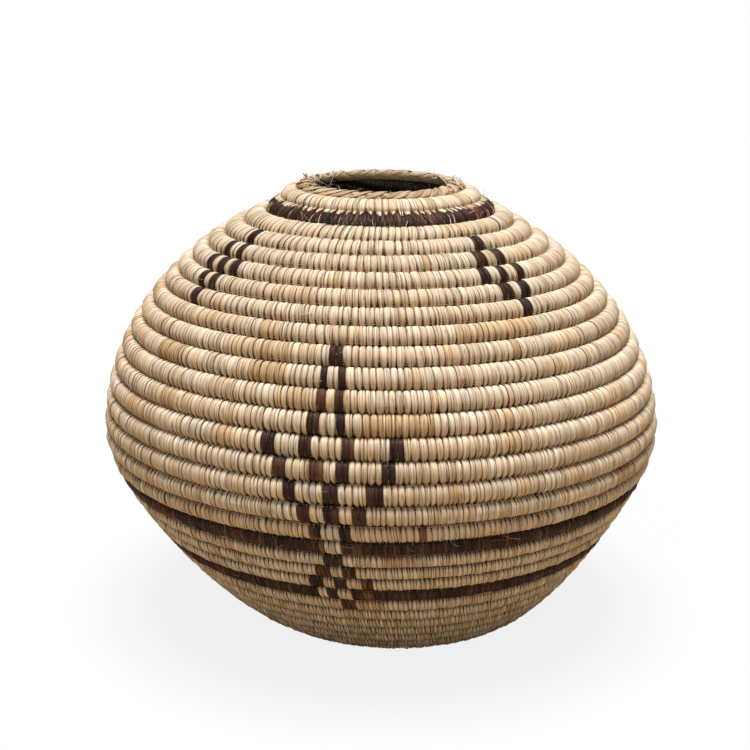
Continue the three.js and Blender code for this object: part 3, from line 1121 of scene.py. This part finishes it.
@dataclass
class PlaitedRim(StripWork):
    """Flat plait that lies on the last round: leaves that run inwards over the top."""

    path: CoilPath
    node: str = "rim_plait"
    seed: int = 31
    leaves: int = 32
    seat: float = 0.15
    inset: float = 1.0
    top: LeafSet = LeafSet(
        (
            (5.9, 0.0), (6.0, 1.0), (5.0, 2.1), (3.4, 3.1), (1.4, 4.0),
            (-0.8, 4.6), (-2.7, 4.7), (-3.9, 4.1), (-4.6, 3.1), (-4.8, 2.2),
        ),
        (0.30, 0.50, 0.80, 1.0, 1.0, 1.0, 1.0, 1.0, 0.9, 0.7),
        share=0.30, run=16.0, age=0.0, sheet=BakeSheet(0.66, 0.88, 2),
    )
    # Leaves on the rim's inner side; their darker tone is painted shade
    inner_side: LeafSet = LeafSet(
        ((-3.4, 3.7), (-4.3, 3.0), (-4.6, 2.0), (-4.7, 0.9), (-4.5, -0.3), (-4.1, -1.4)),
        (0.5, 0.9, 1.0, 1.0, 1.0, 1.0),
        share=0.70, run=-13.0, age=0.75, sheet=BakeSheet(0.0, 0.2, 2),
    )
    # The set under the top one has its line, but narrower and lower
    lower_narrowing: float = 0.96
    lower_drop: float = 0.75
    lower_widths: tuple[float, ...] = (0.4, 0.6, 0.8, 0.95, 1.0, 1.0, 1.0, 0.9, 0.8, 0.7)
    lower_share: float = 0.46
    # Painted shade: the set under the top one is darker
    lower_darkening: float = 0.1
    lower_sheet: BakeSheet = BakeSheet(0.44, 0.64, 2)
    core: Line = (
        (-3.7, 0.0), (-4.1, 1.6), (-3.5, 3.0), (-1.8, 3.8),
        (1.0, 3.3), (4.2, 1.8), (4.9, 0.5), (4.0, 0.0),
    )
    core_stations: int = 97
    core_sheet: Span = (0.9, 0.09)
    core_grain_run: float = 16.0
    columns: tuple[float, ...] = (-1.0, -0.9, -0.45, 0.0, 0.45, 0.9, 1.0)
    front_sag: float = 0.30
    pitch_spread: float = 0.26
    pitch_limits: Span = (0.55, 1.6)
    width_limits: Span = (0.65, 1.35)
    bend: float = 1.1
    crown: float = 0.12
    side_drop: float = 0.18
    shingle: float = 0.16
    lift_spread: float = 0.05
    steep_from: float = 3.6
    steep_length: float = 2.2
    steep_loss: float = 0.6
    edge_sharpness: int = 9
    oldest: float = 0.9
    tone_shape: Span = (2.0, 2.5)
    grain_run: float = 10.0
    loose_points: int = 11
    loose_tones: Span = (0.1, 0.35)
    loose_turned: Span = (0.8, 0.6)
    loose_fold: float = 0.2
    loose_sheet: Span = (0.21, 0.20)
    # Height mark for the finish's painted shade on strip ends; at this height none is painted
    loose_unshaded_place: float = 0.9
    loose_grain_run: float = 14.0
    # Leaf ends that came loose: azimuth, across and height of three points, then half the width
    # at the root and at the tip
    loose: tuple[tuple[tuple[float, ...], ...], ...] = (
        ((34, -3.6, 4.6), (12, -7.0, 4.2), (-6, -4.6, 1.4), (1.0, 0.1)),
        ((6, -1.5, 4.2), (-2, -0.5, 8.2), (-11, 2.6, 2.6), (1.3, 0.9)),
        ((14, 0.5, 4.0), (8, 2.5, 7.6), (2, 4.6, 2.2), (1.1, 0.8)),
        ((172, -4.0, 4.5), (196, -9.0, 8.5), (229, -4.4, 3.8), (0.25, 0.18)),
        ((136, -4.6, 3.4), (139, -5.6, 0.5), (143, -5.2, -3.0), (0.15, 0.1)),
        ((249, -3.8, 4.0), (252, -4.6, 5.6), (255, -5.4, 6.2), (0.2, 0.12)),
        ((38, -4.6, 3.0), (34, -6.5, 0.5), (40, -6.8, -3.2), (0.22, 0.14)),
        ((-4, -4.2, 2.4), (-16, -8.0, 4.6), (-31, -6.6, -0.4), (0.26, 0.2)),
        ((-8, 9.5, -2.0), (-8, 11.2, 0.6), (-8, 11.6, 3.6), (0.12, 0.08)),
        ((-10, 15.8, -6.2), (-10, 16.8, -2.6), (-10, 17.2, 1.2), (0.12, 0.08)),
        ((170, 0.5, 4.4), (172, 0.2, 6.6), (175, -0.6, 8.0), (0.7, 0.4)),
        ((166, 1.5, 4.0), (168, 1.9, 6.2), (170, 2.6, 7.4), (0.6, 0.3)),
    )

    @property
    def round_length(self) -> float:
        """Length of the rim along its middle."""
        return 2 * math.pi * self.path.mouth_radius

    def place(self, run: np.ndarray, across: np.ndarray, up: np.ndarray) -> np.ndarray:
        """Places points on the rim.

        Args:
            run: Way along the rim's middle, from +X.
            across: Distance outwards from the middle.
            up: Height over the seat.

        Returns:
            Points in millimetres.
        """
        azimuth = run / self.path.mouth_radius
        worn = 1 - self.front_sag * (0.5 - 0.5 * np.sin(azimuth))
        height = self.path.mouth_height + self.path.collar_height + self.seat + up * worn
        radius = self.path.mouth_radius - self.inset + across
        return self.path.to_space(radius, height, azimuth + 0 * radius)

    def _lower(self) -> LeafSet:
        """Makes the set of leaves that shows between those on top.

        Returns:
            The set.
        """
        line = tuple(
            (across * self.lower_narrowing, max(up - self.lower_drop, 0))
            for across, up in self.top.line
        )
        return replace(
            self.top,
            line=line,
            widths=self.lower_widths,
            share=self.lower_share,
            run=-self.top.run,
            age=self.lower_darkening,
            sheet=self.lower_sheet,
        )

    def _lay(self, leaves: LeafSet, starts: np.ndarray) -> None:
        """Lays one set of leaves.

        Args:
            leaves: The set.
            starts: Place of each leaf along the rim.
        """
        rng, age = self.rng, leaves.age
        across_line, up_line = (way[None, :, None] for way in np.array(leaves.line).T)
        along = np.linspace(0, 1, len(leaves.line))[None, :, None]
        column = np.array(self.columns)[None, None, :]
        half = self.round_length / self.leaves * leaves.share
        half = (half * rng.uniform(*self.width_limits, len(starts)))[:, None, None]
        wide = np.array(leaves.widths)[None, :, None]
        bend = rng.normal(0, self.bend, (len(starts), 1, 1))
        beside = column * half * wide
        way = starts[:, None, None] + leaves.run * along + bend * along + beside
        sides = self.side_drop * np.abs(column) ** self.edge_sharpness
        lift = self.crown * (1 - column**2) - sides + self.shingle * column * wide
        lift = lift + rng.normal(0, self.lift_spread, half.shape)
        steep = np.clip((np.abs(across_line) - self.steep_from) / self.steep_length, 0, 1)
        points = self.place(
            way,
            across_line + np.sign(across_line) * lift * steep,
            up_line + lift * (1 - self.steep_loss * steep),
        )
        tones = age + (self.oldest - age) * rng.beta(*self.tone_shape, len(starts))[:, None, None]
        seed = rng.random(len(starts))[:, None, None]
        self.store.add(
            points,
            leaves.sheet.place(len(starts), column + 0 * along, along + 0 * column),
            Slot.NATURAL,
            # The place along the leaf doubles as the height mark of the finish's painted shade,
            # which darkens the start of each leaf
            place=(column, along, 0),
            grain=(beside + GRAIN_ASIDE * seed, along * self.grain_run, GRAIN_DEEP * seed),
            tone=(tones, 0, seed),
        )

    def _loose_end(self, number: int) -> None:
        """Bends one loose leaf end away from the plait.

        Args:
            number: Number of the leaf end in the list.
        """
        start, middle, end, (root, tip) = self.loose[number]
        along = np.linspace(0, 1, self.loose_points)[None, :, None]
        weights = ((1 - along) ** 2, 2 * along * (1 - along), along**2)
        azimuth, across, up = (
            sum(w * p for w, p in zip(weights, axis)) for axis in zip(start, middle, end)
        )
        column = np.array([-1.0, 0.0, 1.0])[None, None, :]
        half = root + (tip - root) * along**2
        width_along, width_across = self.loose_turned
        run = np.radians(azimuth) * self.path.mouth_radius + column * half * width_along
        fold = self.loose_fold * half * (1 - column**2)
        points = self.place(run, across + column * half * width_across, up + fold)
        seed = self.rng.random()
        share = (number + CELL_MARGIN + CELL_FILL * (column + 1) / 2) / len(self.loose)
        low, height = self.loose_sheet
        self.store.add(
            points,
            on_map(share, low + height * along),
            Slot.NATURAL,
            # Height mark above the finish's painted shade on strip ends
            place=(column, self.loose_unshaded_place, 0),
            grain=(column * half + GRAIN_ASIDE * seed, along * self.loose_grain_run, 0),
            tone=(self.rng.uniform(*self.loose_tones), 0, seed),
        )

    def _core(self) -> None:
        """Makes the fibre ring under the leaves."""
        across, up = np.array(self.core).T
        run = np.linspace(0, self.round_length, self.core_stations)[:, None]
        points = self.place(run, across[None], up[None])[None]
        share = np.linspace(0, 1, len(self.core))[None, :]
        low, height = self.core_sheet
        self.store.add(
            points,
            on_map(run / run[-1], low + height * share)[None],
            Slot.BUNDLE,
            flip=True,
            place=(0, 0.5, 0),
            grain=(run, share * self.core_grain_run, 0),
            tone=(0.5, 0, 0.5),
        )

    def build(self, finishes: list[bpy.types.Material]) -> bpy.types.Object:
        """Makes the plait and puts it in the place of its plain solid.

        Args:
            finishes: Materials in the order of the slots.

        Returns:
            The rim as one object.
        """
        self.start(self.seed)
        steps = self.rng.normal(1, self.pitch_spread, self.leaves).clip(*self.pitch_limits)
        starts = np.cumsum(steps) / steps.sum() * 2 * math.pi * self.path.mouth_radius
        under = starts + self.top.run
        self._core()
        self._lay(self.inner_side, under)
        self._lay(self._lower(), under + self.round_length / self.leaves / 3)
        self._lay(self.top, starts)
        for number in range(len(self.loose)):
            self._loose_end(number)
        piece = self.store.build("plaited_rim", finishes)
        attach(piece, BODY)
        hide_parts(self.node)
        return piece


# Finishes


class NodeBench:
    """Small helper that adds and joins shader nodes in one tree."""

    def __init__(self, tree: bpy.types.NodeTree) -> None:
        """Starts on an empty tree."""
        self.tree = tree

    @classmethod
    def cleared(cls, owner: bpy.types.Material | bpy.types.World) -> "NodeBench":
        """Clears the nodes of a material or world.

        Args:
            owner: The material or world.

        Returns:
            A bench on its empty tree.
        """
        owner.use_nodes = True
        owner.node_tree.nodes.clear()
        return cls(owner.node_tree)

    def add(self, kind: str, **settings: object) -> bpy.types.Node:
        """Adds a node.

        Args:
            kind: Type of the node.
            settings: Values of its properties.

        Returns:
            The node.
        """
        node = self.tree.nodes.new(kind)
        for name, value in settings.items():
            setattr(node, name, value)
        return node

    def join(self, source: Socket, target: Socket) -> None:
        """Joins an output to an input."""
        self.tree.links.new(source, target)

    def give(self, value: Socket | Colour | float, target: Socket) -> None:
        """Joins an output to an input, or sets a colour or number on it.

        Args:
            value: Output, colour or number.
            target: The input.
        """
        if isinstance(value, (int, float)):
            target.default_value = value
        elif isinstance(value, tuple):
            target.default_value = (*value, 1)
        else:
            self.join(value, target)

    def math(
        self, operation: str, a: Socket | float, b: Socket | float = 0.0, clamp: bool = False
    ) -> Socket:
        """Adds a Math node on sockets or numbers.

        Args:
            operation: Name of the operation.
            a: First socket or number.
            b: Second socket or number.
            clamp: Keeps the result from 0 to 1.

        Returns:
            The node's output.
        """
        node = self.add("ShaderNodeMath", operation=operation, use_clamp=clamp)
        self.give(a, node.inputs[0])
        self.give(b, node.inputs[1])
        return node.outputs[0]

    def fade(self, a: Socket | float, b: Socket | float, slope: float) -> Socket:
        """Grows with the amount by which a is over b, from 0 to 1."""
        return self.math("MULTIPLY", self.math("SUBTRACT", a, b), slope, clamp=True)

    def mark(self, name: str) -> Socket:
        """Reads one of the marks that the strips carry."""
        return self.add("ShaderNodeAttribute", attribute_name=name).outputs["Vector"]

    def parts(self, vector: Socket) -> tuple[Socket, Socket, Socket]:
        """Takes a vector apart.

        Args:
            vector: The vector's output.

        Returns:
            Its three numbers.
        """
        node = self.add("ShaderNodeSeparateXYZ")
        self.join(vector, node.inputs[0])
        return tuple(node.outputs)

    def noise(self, vector: Socket, scale: Socket | float, detail: float = 2.0) -> Socket:
        """Adds a noise.

        Args:
            vector: Where it is read.
            scale: Its fineness.
            detail: Number of finer layers in it.

        Returns:
            The noise, around a half.
        """
        node = self.add("ShaderNodeTexNoise")
        self.join(vector, node.inputs["Vector"])
        self.give(scale, node.inputs["Scale"])
        node.inputs["Detail"].default_value = detail
        return node.outputs["Fac"]

    def ramp(self, fac: Socket, stops: tuple[tuple[float, Colour], ...]) -> Socket:
        """Adds a colour ramp.

        Args:
            fac: Socket that drives it.
            stops: Places and colours.

        Returns:
            The colour output.
        """
        node = self.add("ShaderNodeValToRGB")
        elements = node.color_ramp.elements
        for at, _ in stops[1:-1]:
            elements.new(at)
        for element, (at, colour) in zip(elements, stops, strict=True):
            element.position = at
            element.color = (*colour, 1)
        self.join(fac, node.inputs[0])
        return node.outputs[0]

    def blend(
        self, fac: Socket | float, a: Socket | Colour, b: Socket | Colour, how: str = "MIX"
    ) -> Socket:
        """Adds a colour mix of two sockets or colours.

        Args:
            fac: Share of the second, a socket or number.
            a: First socket or colour.
            b: Second socket or colour.
            how: Blend type.

        Returns:
            The colour output.
        """
        node = self.add("ShaderNodeMix", data_type="RGBA", blend_type=how)
        for value, number in ((fac, 0), (a, 6), (b, 7)):
            self.give(value, node.inputs[number])
        return node.outputs[2]

    def choose(self, fac: Socket, a: Socket, b: Socket) -> Socket:
        """Adds a mix of two shaders.

        Args:
            fac: Share of the second.
            a: First shader.
            b: Second shader.

        Returns:
            The mixed shader.
        """
        node = self.add("ShaderNodeMixShader")
        for number, source in enumerate((fac, a, b)):
            self.join(source, node.inputs[number])
        return node.outputs[0]

    def principled(self) -> bpy.types.Node:
        """Adds the main shader and the material's output.

        Returns:
            The shader.
        """
        shader = self.add("ShaderNodeBsdfPrincipled")
        self.join(shader.outputs[0], self.add("ShaderNodeOutputMaterial").inputs[0])
        return shader

    def bump(
        self, height: Socket, distance: float, strength: float, shader: bpy.types.Node
    ) -> None:
        """Raises a shader's surface.

        Args:
            height: Height of the surface.
            distance: Depth of the relief in metres.
            strength: Share of the relief that shows.
            shader: The shader.
        """
        node = self.add("ShaderNodeBump")
        node.inputs["Distance"].default_value = distance
        node.inputs["Strength"].default_value = strength
        self.join(height, node.inputs["Height"])
        self.join(node.outputs[0], shader.inputs["Normal"])


class LeafGrain:
    """Shared node group: the lengthwise fibres of a palm strip, its splits and its specks."""

    NAME = "palm_leaf_grain"
    OUTPUTS = ("Streaks", "Splits", "Specks", "Height")
    STRETCH = 0.045
    SPLIT_SCALE = 0.75
    SPLIT_SLOPE = 20.0
    SPLIT_DEPTH = 0.9
    SPECK_SCALE = 1.3
    SPECK_FROM = 0.62
    SPECK_SLOPE = 6.0

    @classmethod
    def group(cls) -> bpy.types.NodeTree:
        """Builds the group once.

        Returns:
            The node group, with Streaks, Splits, Specks and Height as its outputs.
        """
        if cls.NAME in bpy.data.node_groups:
            return bpy.data.node_groups[cls.NAME]
        tree = bpy.data.node_groups.new(cls.NAME, "ShaderNodeTree")
        tree.interface.new_socket("Fineness", in_out="INPUT", socket_type="NodeSocketFloat")
        for name in cls.OUTPUTS:
            tree.interface.new_socket(name, in_out="OUTPUT", socket_type="NodeSocketFloat")
        bench = NodeBench(tree)
        given = bench.add("NodeGroupInput")
        out = bench.add("NodeGroupOutput")
        grain = bench.mark("grain")
        long = bench.add("ShaderNodeVectorMath", operation="MULTIPLY")
        long.inputs[1].default_value = (1.0, cls.STRETCH, 1.0)
        bench.join(grain, long.inputs[0])
        fine = bench.noise(long.outputs[0], given.outputs["Fineness"], 3)
        broad = bench.noise(long.outputs[0], cls.SPLIT_SCALE, 1)
        split = bench.math("ABSOLUTE", bench.math("SUBTRACT", broad, 0.5))
        split = bench.math("MULTIPLY", split, cls.SPLIT_SLOPE)
        split = bench.math("SUBTRACT", 1.0, split, clamp=True)
        specks = bench.fade(bench.noise(grain, cls.SPECK_SCALE), cls.SPECK_FROM, cls.SPECK_SLOPE)
        height = bench.math("ADD", bench.math("MULTIPLY", split, -cls.SPLIT_DEPTH), fine)
        for name, value in zip(cls.OUTPUTS, (fine, split, specks, height), strict=True):
            bench.join(value, out.inputs[name])
        return tree


@dataclass(frozen=True)
class PalmFinish:
    """Finish of palm strips: leaf tones, fibres, painted shade low down, in grooves, at edges."""

    name: str
    tones: tuple[tuple[float, Colour], ...]
    streak_tint: Colour
    streak_share: float
    split_colour: Colour
    split_share: float
    roughness: float
    gloss: float
    by_dye: bool = False
    fineness: float = 1.6
    streak_from: float = 0.42
    streak_slope: float = 3.2
    speck_share: float = 0.35
    brown: Colour = (0.17, 0.080, 0.040)
    brown_slope: float = 1.5
    # Painted shade on the lower part of each strip, below this height mark
    tip_to: float = 0.72
    tip_slope: float = 1.6
    tip_shade: Colour = (0.82, 0.70, 0.56)
    # Painted shade in the grooves between rounds
    groove_shade_share: float = 0.8
    groove_shade_colour: Colour = (0.26, 0.19, 0.12)
    # Painted shade along the long edges of each strip, where it meets its neighbours
    seam_from: float = 0.82
    seam_slope: float = 5.5
    seam_share: float = 0.75
    seam_shade: Colour = (0.34, 0.24, 0.15)
    strip_shades: Span = (0.84, 1.08)
    rough_spread: float = 0.3
    relief: float = 0.00009
    relief_share: float = 0.8

    def make(self) -> bpy.types.Material:
        """Builds the material.

        Returns:
            The material.
        """
        material = bpy.data.materials.new(self.name)
        bench = NodeBench.cleared(material)
        shader = bench.principled()
        tone, dye, number = bench.parts(bench.mark("tone"))
        across, height, groove_mask = bench.parts(bench.mark("place"))
        leaf = bench.add("ShaderNodeGroup", node_tree=LeafGrain.group())
        leaf.inputs["Fineness"].default_value = self.fineness
        streaks, splits, specks, relief = (leaf.outputs[name] for name in LeafGrain.OUTPUTS)
        colour = bench.ramp(tone, self.tones)
        if self.by_dye:
            colour = bench.blend(bench.fade(1.0, dye, self.brown_slope), colour, self.brown)
        streak = bench.fade(streaks, self.streak_from, self.streak_slope)
        streak = bench.math("MULTIPLY", streak, self.streak_share)
        colour = bench.blend(streak, colour, self.streak_tint, "MULTIPLY")
        speck = bench.math("MULTIPLY", specks, self.speck_share)
        colour = bench.blend(speck, colour, self.streak_tint, "MULTIPLY")
        colour = bench.blend(
            bench.math("MULTIPLY", splits, self.split_share), colour, self.split_colour
        )
        # Painted shade on the lower part of each strip
        tip = bench.fade(self.tip_to, height, self.tip_slope)
        colour = bench.blend(tip, colour, self.tip_shade, "MULTIPLY")
        # Painted shade in the grooves
        groove_mask = bench.math("MULTIPLY", groove_mask, self.groove_shade_share)
        colour = bench.blend(groove_mask, colour, self.groove_shade_colour, "MULTIPLY")
        # Painted shade along the strips' long edges
        seam = bench.fade(bench.math("ABSOLUTE", across), self.seam_from, self.seam_slope)
        seam = bench.math("MULTIPLY", seam, self.seam_share)
        colour = bench.blend(seam, colour, self.seam_shade, "MULTIPLY")
        dark, light = self.strip_shades
        shade = bench.ramp(number, ((0.0, (dark,) * 3), (1.0, (light,) * 3)))
        bench.join(bench.blend(1.0, colour, shade, "MULTIPLY"), shader.inputs["Base Color"])
        shader.inputs["Specular IOR Level"].default_value = self.gloss
        rough = bench.math("MULTIPLY", streaks, self.rough_spread)
        rough = bench.math("ADD", rough, self.roughness - self.rough_spread / 2, clamp=True)
        bench.join(rough, shader.inputs["Roughness"])
        bench.bump(relief, self.relief, self.relief_share, shader)
        return material


@dataclass(frozen=True)
class BundleFinish:
    """Finish of the fibre bundle in the slits: dark as painted shade, pale threads along it."""

    name: str = "fibre_bundle"
    # Painted shade of the deep slits; the pale threads are the bundle's own colour
    dark: Colour = (0.028, 0.017, 0.010)
    pale: Colour = (0.50, 0.40, 0.24)
    thread_pitch: float = 1.15
    thread_sharpness: float = 2.5
    patch_scale: float = 0.35
    roughness: float = 0.85
    relief: float = 0.0002

    def make(self) -> bpy.types.Material:
        """Builds the material.

        Returns:
            The material.
        """
        material = bpy.data.materials.new(self.name)
        bench = NodeBench.cleared(material)
        shader = bench.principled()
        grain = bench.mark("grain")
        _, around, _ = bench.parts(grain)
        wave = bench.math("SINE", bench.math("MULTIPLY", around, 2 * math.pi / self.thread_pitch))
        patches = bench.noise(grain, self.patch_scale)
        limit = bench.math("SUBTRACT", 2.0, bench.math("MULTIPLY", patches, 3.0))
        thread = bench.fade(wave, limit, self.thread_sharpness)
        bench.join(bench.blend(thread, self.dark, self.pale), shader.inputs["Base Color"])
        shader.inputs["Roughness"].default_value = self.roughness
        bench.bump(wave, self.relief, 1.0, shader)
        return material


NATURAL_PALM = PalmFinish(
    name="natural_palm",
    tones=(
        (0.0, (0.72, 0.635, 0.50)),
        (0.20, (0.78, 0.675, 0.54)),
        (0.45, (0.74, 0.58, 0.39)),
        (0.68, (0.66, 0.46, 0.27)),
        (1.0, (0.42, 0.24, 0.11)),
    ),
    streak_tint=(0.64, 0.52, 0.38),
    streak_share=0.75,
    split_colour=(0.16, 0.10, 0.05),
    split_share=0.7,
    roughness=0.55,
    gloss=0.25,
)

PLAIT_PALM = PalmFinish(
    name="plait_palm",
    tones=(
        (0.0, (0.60, 0.51, 0.38)),
        (0.35, (0.60, 0.48, 0.34)),
        (0.7, (0.50, 0.37, 0.22)),
        (1.0, (0.40, 0.26, 0.13)),
    ),
    streak_tint=(0.66, 0.55, 0.42),
    streak_share=0.7,
    split_colour=(0.14, 0.09, 0.05),
    split_share=0.6,
    roughness=0.6,
    gloss=0.2,
)

# The inside is the same palm as the outside; these dark tones are painted shade of the inside
SHADED_INNER_PALM = PalmFinish(
    name="inner_palm_painted_shade",
    tones=((0.0, (0.06, 0.042, 0.024)), (0.5, (0.08, 0.053, 0.03)), (1.0, (0.05, 0.028, 0.014))),
    streak_tint=(0.6, 0.5, 0.4),
    streak_share=0.5,
    split_colour=(0.03, 0.02, 0.01),
    split_share=0.5,
    roughness=0.7,
    gloss=0.2,
)

DYED_PALM = PalmFinish(
    name="dyed_palm",
    tones=(
        (0.0, (0.016, 0.0078, 0.0070)),
        (0.35, (0.033, 0.0142, 0.0118)),
        (0.7, (0.066, 0.028, 0.020)),
        (1.0, (0.15, 0.060, 0.030)),
    ),
    streak_tint=(3.0, 2.7, 2.4),
    streak_share=0.6,
    split_colour=(0.10, 0.055, 0.035),
    split_share=0.4,
    roughness=0.5,
    gloss=0.14,
    by_dye=True,
)


# Studio


@dataclass(frozen=True)
class Studio:
    """Pale floor, soft lamps, white surroundings and the camera."""

    floor_size: float = 400.0
    floor_drop: float = 0.0004
    floor_colour: Colour = (0.40, 0.315, 0.215)
    floor_glow: float = 0.86
    ambient: float = 0.11
    top_strength: float = 5.05
    top_tip: float = math.radians(2)
    top_spread: float = math.radians(30)
    front_strength: float = 0.85
    front_tip: float = math.radians(62)
    front_swing: float = math.radians(-12)
    front_spread: float = math.radians(80)
    lens: float = 64.61
    sensor: float = 36.0
    far: float = 1000.0
    camera_distance: float = 0.820
    camera_elevation: float = math.radians(15.05)
    look_height: float = 0.14285
    side_shift: float = -0.0038
    roll: float = math.radians(0.5)

    def floor(self) -> None:
        """Lays the floor, which shows white to the camera but keeps the basket's shadow."""
        half = self.floor_size / 2
        mesh = bpy.data.meshes.new("floor")
        corners = [(-half, -half, 0), (half, -half, 0), (half, half, 0), (-half, half, 0)]
        mesh.from_pydata(corners, [], [(0, 1, 2, 3)])
        floor = bpy.data.objects.new("floor", mesh)
        floor.location.z = -self.floor_drop
        bpy.context.scene.collection.objects.link(floor)
        material = bpy.data.materials.new("pale_floor")
        bench = NodeBench.cleared(material)
        plain, seen = bench.add("ShaderNodeBsdfDiffuse"), bench.add("ShaderNodeBsdfDiffuse")
        bench.give(self.floor_colour, plain.inputs[0])
        light = self.ambient + self._floor_light() / math.pi
        bench.give(((1 - self.floor_glow) / light,) * 3, seen.inputs[0])
        glow = bench.add("ShaderNodeEmission")
        glow.inputs[1].default_value = self.floor_glow
        both = bench.add("ShaderNodeAddShader")
        bench.join(seen.outputs[0], both.inputs[0])
        bench.join(glow.outputs[0], both.inputs[1])
        lit = bench.choose(self._direct_rays(bench), plain.outputs[0], both.outputs[0])
        back = bench.add("ShaderNodeNewGeometry").outputs["Backfacing"]
        clear = bench.add("ShaderNodeBsdfTransparent").outputs[0]
        out = bench.add("ShaderNodeOutputMaterial")
        bench.join(bench.choose(back, lit, clear), out.inputs[0])
        mesh.materials.append(material)

    def _floor_light(self) -> float:
        """Light of both lamps that falls on the level floor."""
        top = self.top_strength * math.cos(self.top_tip)
        return top + self.front_strength * math.cos(self.front_tip)

    def _direct_rays(self, bench: NodeBench) -> Socket:
        """Is 1 for rays by which the camera itself sees something, and 0 for the rest."""
        return bench.add("ShaderNodeLightPath").outputs["Is Camera Ray"]

    def world(self) -> None:
        """Sets the white surroundings and the even light from them."""
        world = bpy.data.worlds.new("white_room")
        bpy.context.scene.world = world
        bench = NodeBench.cleared(world)
        out = bench.add("ShaderNodeOutputWorld")
        seen, even = bench.add("ShaderNodeBackground"), bench.add("ShaderNodeBackground")
        even.inputs[1].default_value = self.ambient
        for background in (seen, even):
            background.inputs[0].default_value = (1, 1, 1, 1)
        mix = bench.choose(self._direct_rays(bench), even.outputs[0], seen.outputs[0])
        bench.join(mix, out.inputs[0])

    def lamp(self, name: str, strength: float, tip: float, swing: float, spread: float) -> None:
        """Sets a far, broad lamp, so that the whole floor is lit alike.

        Args:
            name: Name of the lamp.
            strength: Light on a surface that faces it.
            tip: Angle by which it is tipped from overhead towards the front.
            swing: Angle by which it is swung to the right.
            spread: Width of the lamp as an angle.
        """
        data = bpy.data.lights.new(name, "SUN")
        data.energy = strength
        data.angle = spread
        lamp = bpy.data.objects.new(name, data)
        lamp.rotation_euler = (tip, 0, swing)
        bpy.context.scene.collection.objects.link(lamp)

    def camera(self) -> None:
        """Sets the camera at the photograph's angle."""
        data = bpy.data.cameras.new("camera")
        data.lens = self.lens
        data.sensor_width = self.sensor
        data.clip_end = self.far
        camera = bpy.data.objects.new("camera", data)
        back = self.camera_distance * math.cos(self.camera_elevation)
        rise = self.camera_distance * math.sin(self.camera_elevation)
        place = Matrix.Translation((self.side_shift, -back, self.look_height + rise))
        tip = Matrix.Rotation(math.pi / 2 - self.camera_elevation, 4, "X")
        camera.matrix_world = place @ tip @ Matrix.Rotation(self.roll, 4, "Z")
        bpy.context.scene.collection.objects.link(camera)
        bpy.context.scene.camera = camera

    def build(self) -> None:
        """Sets up the whole studio."""
        bpy.context.scene.view_settings.view_transform = "Standard"
        self.floor()
        self.world()
        front = (self.front_strength, self.front_tip, self.front_swing, self.front_spread)
        self.lamp("top_lamp", self.top_strength, self.top_tip, 0.0, self.top_spread)
        self.lamp("front_lamp", *front)
        self.camera()


# The basket


@dataclass
class Basket:
    """The whole basket: all rounds of the coil and the rim."""

    path: CoilPath = field(default_factory=CoilPath)
    shape: WrapShape = field(default_factory=WrapShape)
    pattern: Pattern = field(default_factory=Pattern)
    band_names: tuple[tuple[int, str], ...] = (
        (8, "dark_band_foot"),
        (12, "dark_band_waist"),
        (29, "dark_band_neck"),
    )
    # Strip width, lean, tone shift and flatness by wall round, from the foot to the mouth. The
    # tone shift is browner and darker towards the foot, painted shade of the lower body.
    pitches: Line = (
        (0, 1.95), (6, 2.15), (10, 2.45), (13, 3.0), (16, 3.6), (22, 3.85), (27, 4.0), (30, 3.6),
    )
    leans: Line = ((0, 0.2), (6, 0.5), (13, 0.7), (16, 0.4), (30, 0.2))
    ages: Line = ((0, 0.17), (8, 0.15), (13, 0.12), (20, 0.03), (29, 0.0), (30, 0.1))
    flatnesses: Line = ((0, 1.0), (11, 1.0), (15, 0.0), (30, 0.0))
    base_pitch: float = 2.9
    base_lean: float = 0.4
    knot_edge: float = 0.15

    def rounds(self) -> list[WrappedRound]:
        """Lists the knot and all rounds of the coil.

        Returns:
            The rounds, from the middle of the base to the mouth.
        """
        path, names = self.path, dict(self.band_names)
        base = {"path": path, "shape": self.shape, "pattern": self.pattern}
        flat = {"pitch": self.base_pitch, "lean": self.base_lean, "flatness": 1.0}
        knot = {"node": "start_knot", "number": -1, "first_edge": self.knot_edge}
        rounds = [WrappedRound(**base, **flat, **knot)]
        for number in range(path.base_rounds):
            node = f"base_round_{number + 1:02d}"
            rounds.append(WrappedRound(**base, **flat, node=node, number=number))
        by_round = (
            ("pitch", self.pitches),
            ("lean", self.leans),
            ("flatness", self.flatnesses),
            ("age", self.ages),
        )
        for wall in range(1, path.wall_rounds + 1):
            rounds.append(
                WrappedRound(
                    **base,
                    **{name: float(np.interp(wall, *zip(*line))) for name, line in by_round},
                    node=names.get(wall, f"wall_round_{wall:02d}"),
                    number=path.base_rounds + wall - 1,
                    below=rounds[-1] if wall == path.wall_rounds else None,
                )
            )
        return rounds

    def build(self) -> None:
        """Makes every round and the rim, and reports each."""
        finishes = [palm.make() for palm in (NATURAL_PALM, DYED_PALM, SHADED_INNER_PALM)]
        finishes.append(BundleFinish().make())
        rounds = self.rounds()
        rim = PlaitedRim(self.path)
        pieces = [part.build(finishes) for part in [*rounds, StrayFibres(rounds, rim)]]
        pieces.append(rim.build([PLAIT_PALM.make(), *finishes[1:]]))
        for piece in pieces:
            log.info("%s: %d faces", piece.name, len(piece.data.polygons))


def main() -> None:
    """Builds the basket and the studio."""
    logging.basicConfig(level=logging.INFO, format="%(name)s %(message)s")
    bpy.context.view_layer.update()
    Basket().build()
    Studio().build()


if __name__ == "__main__":
    main()
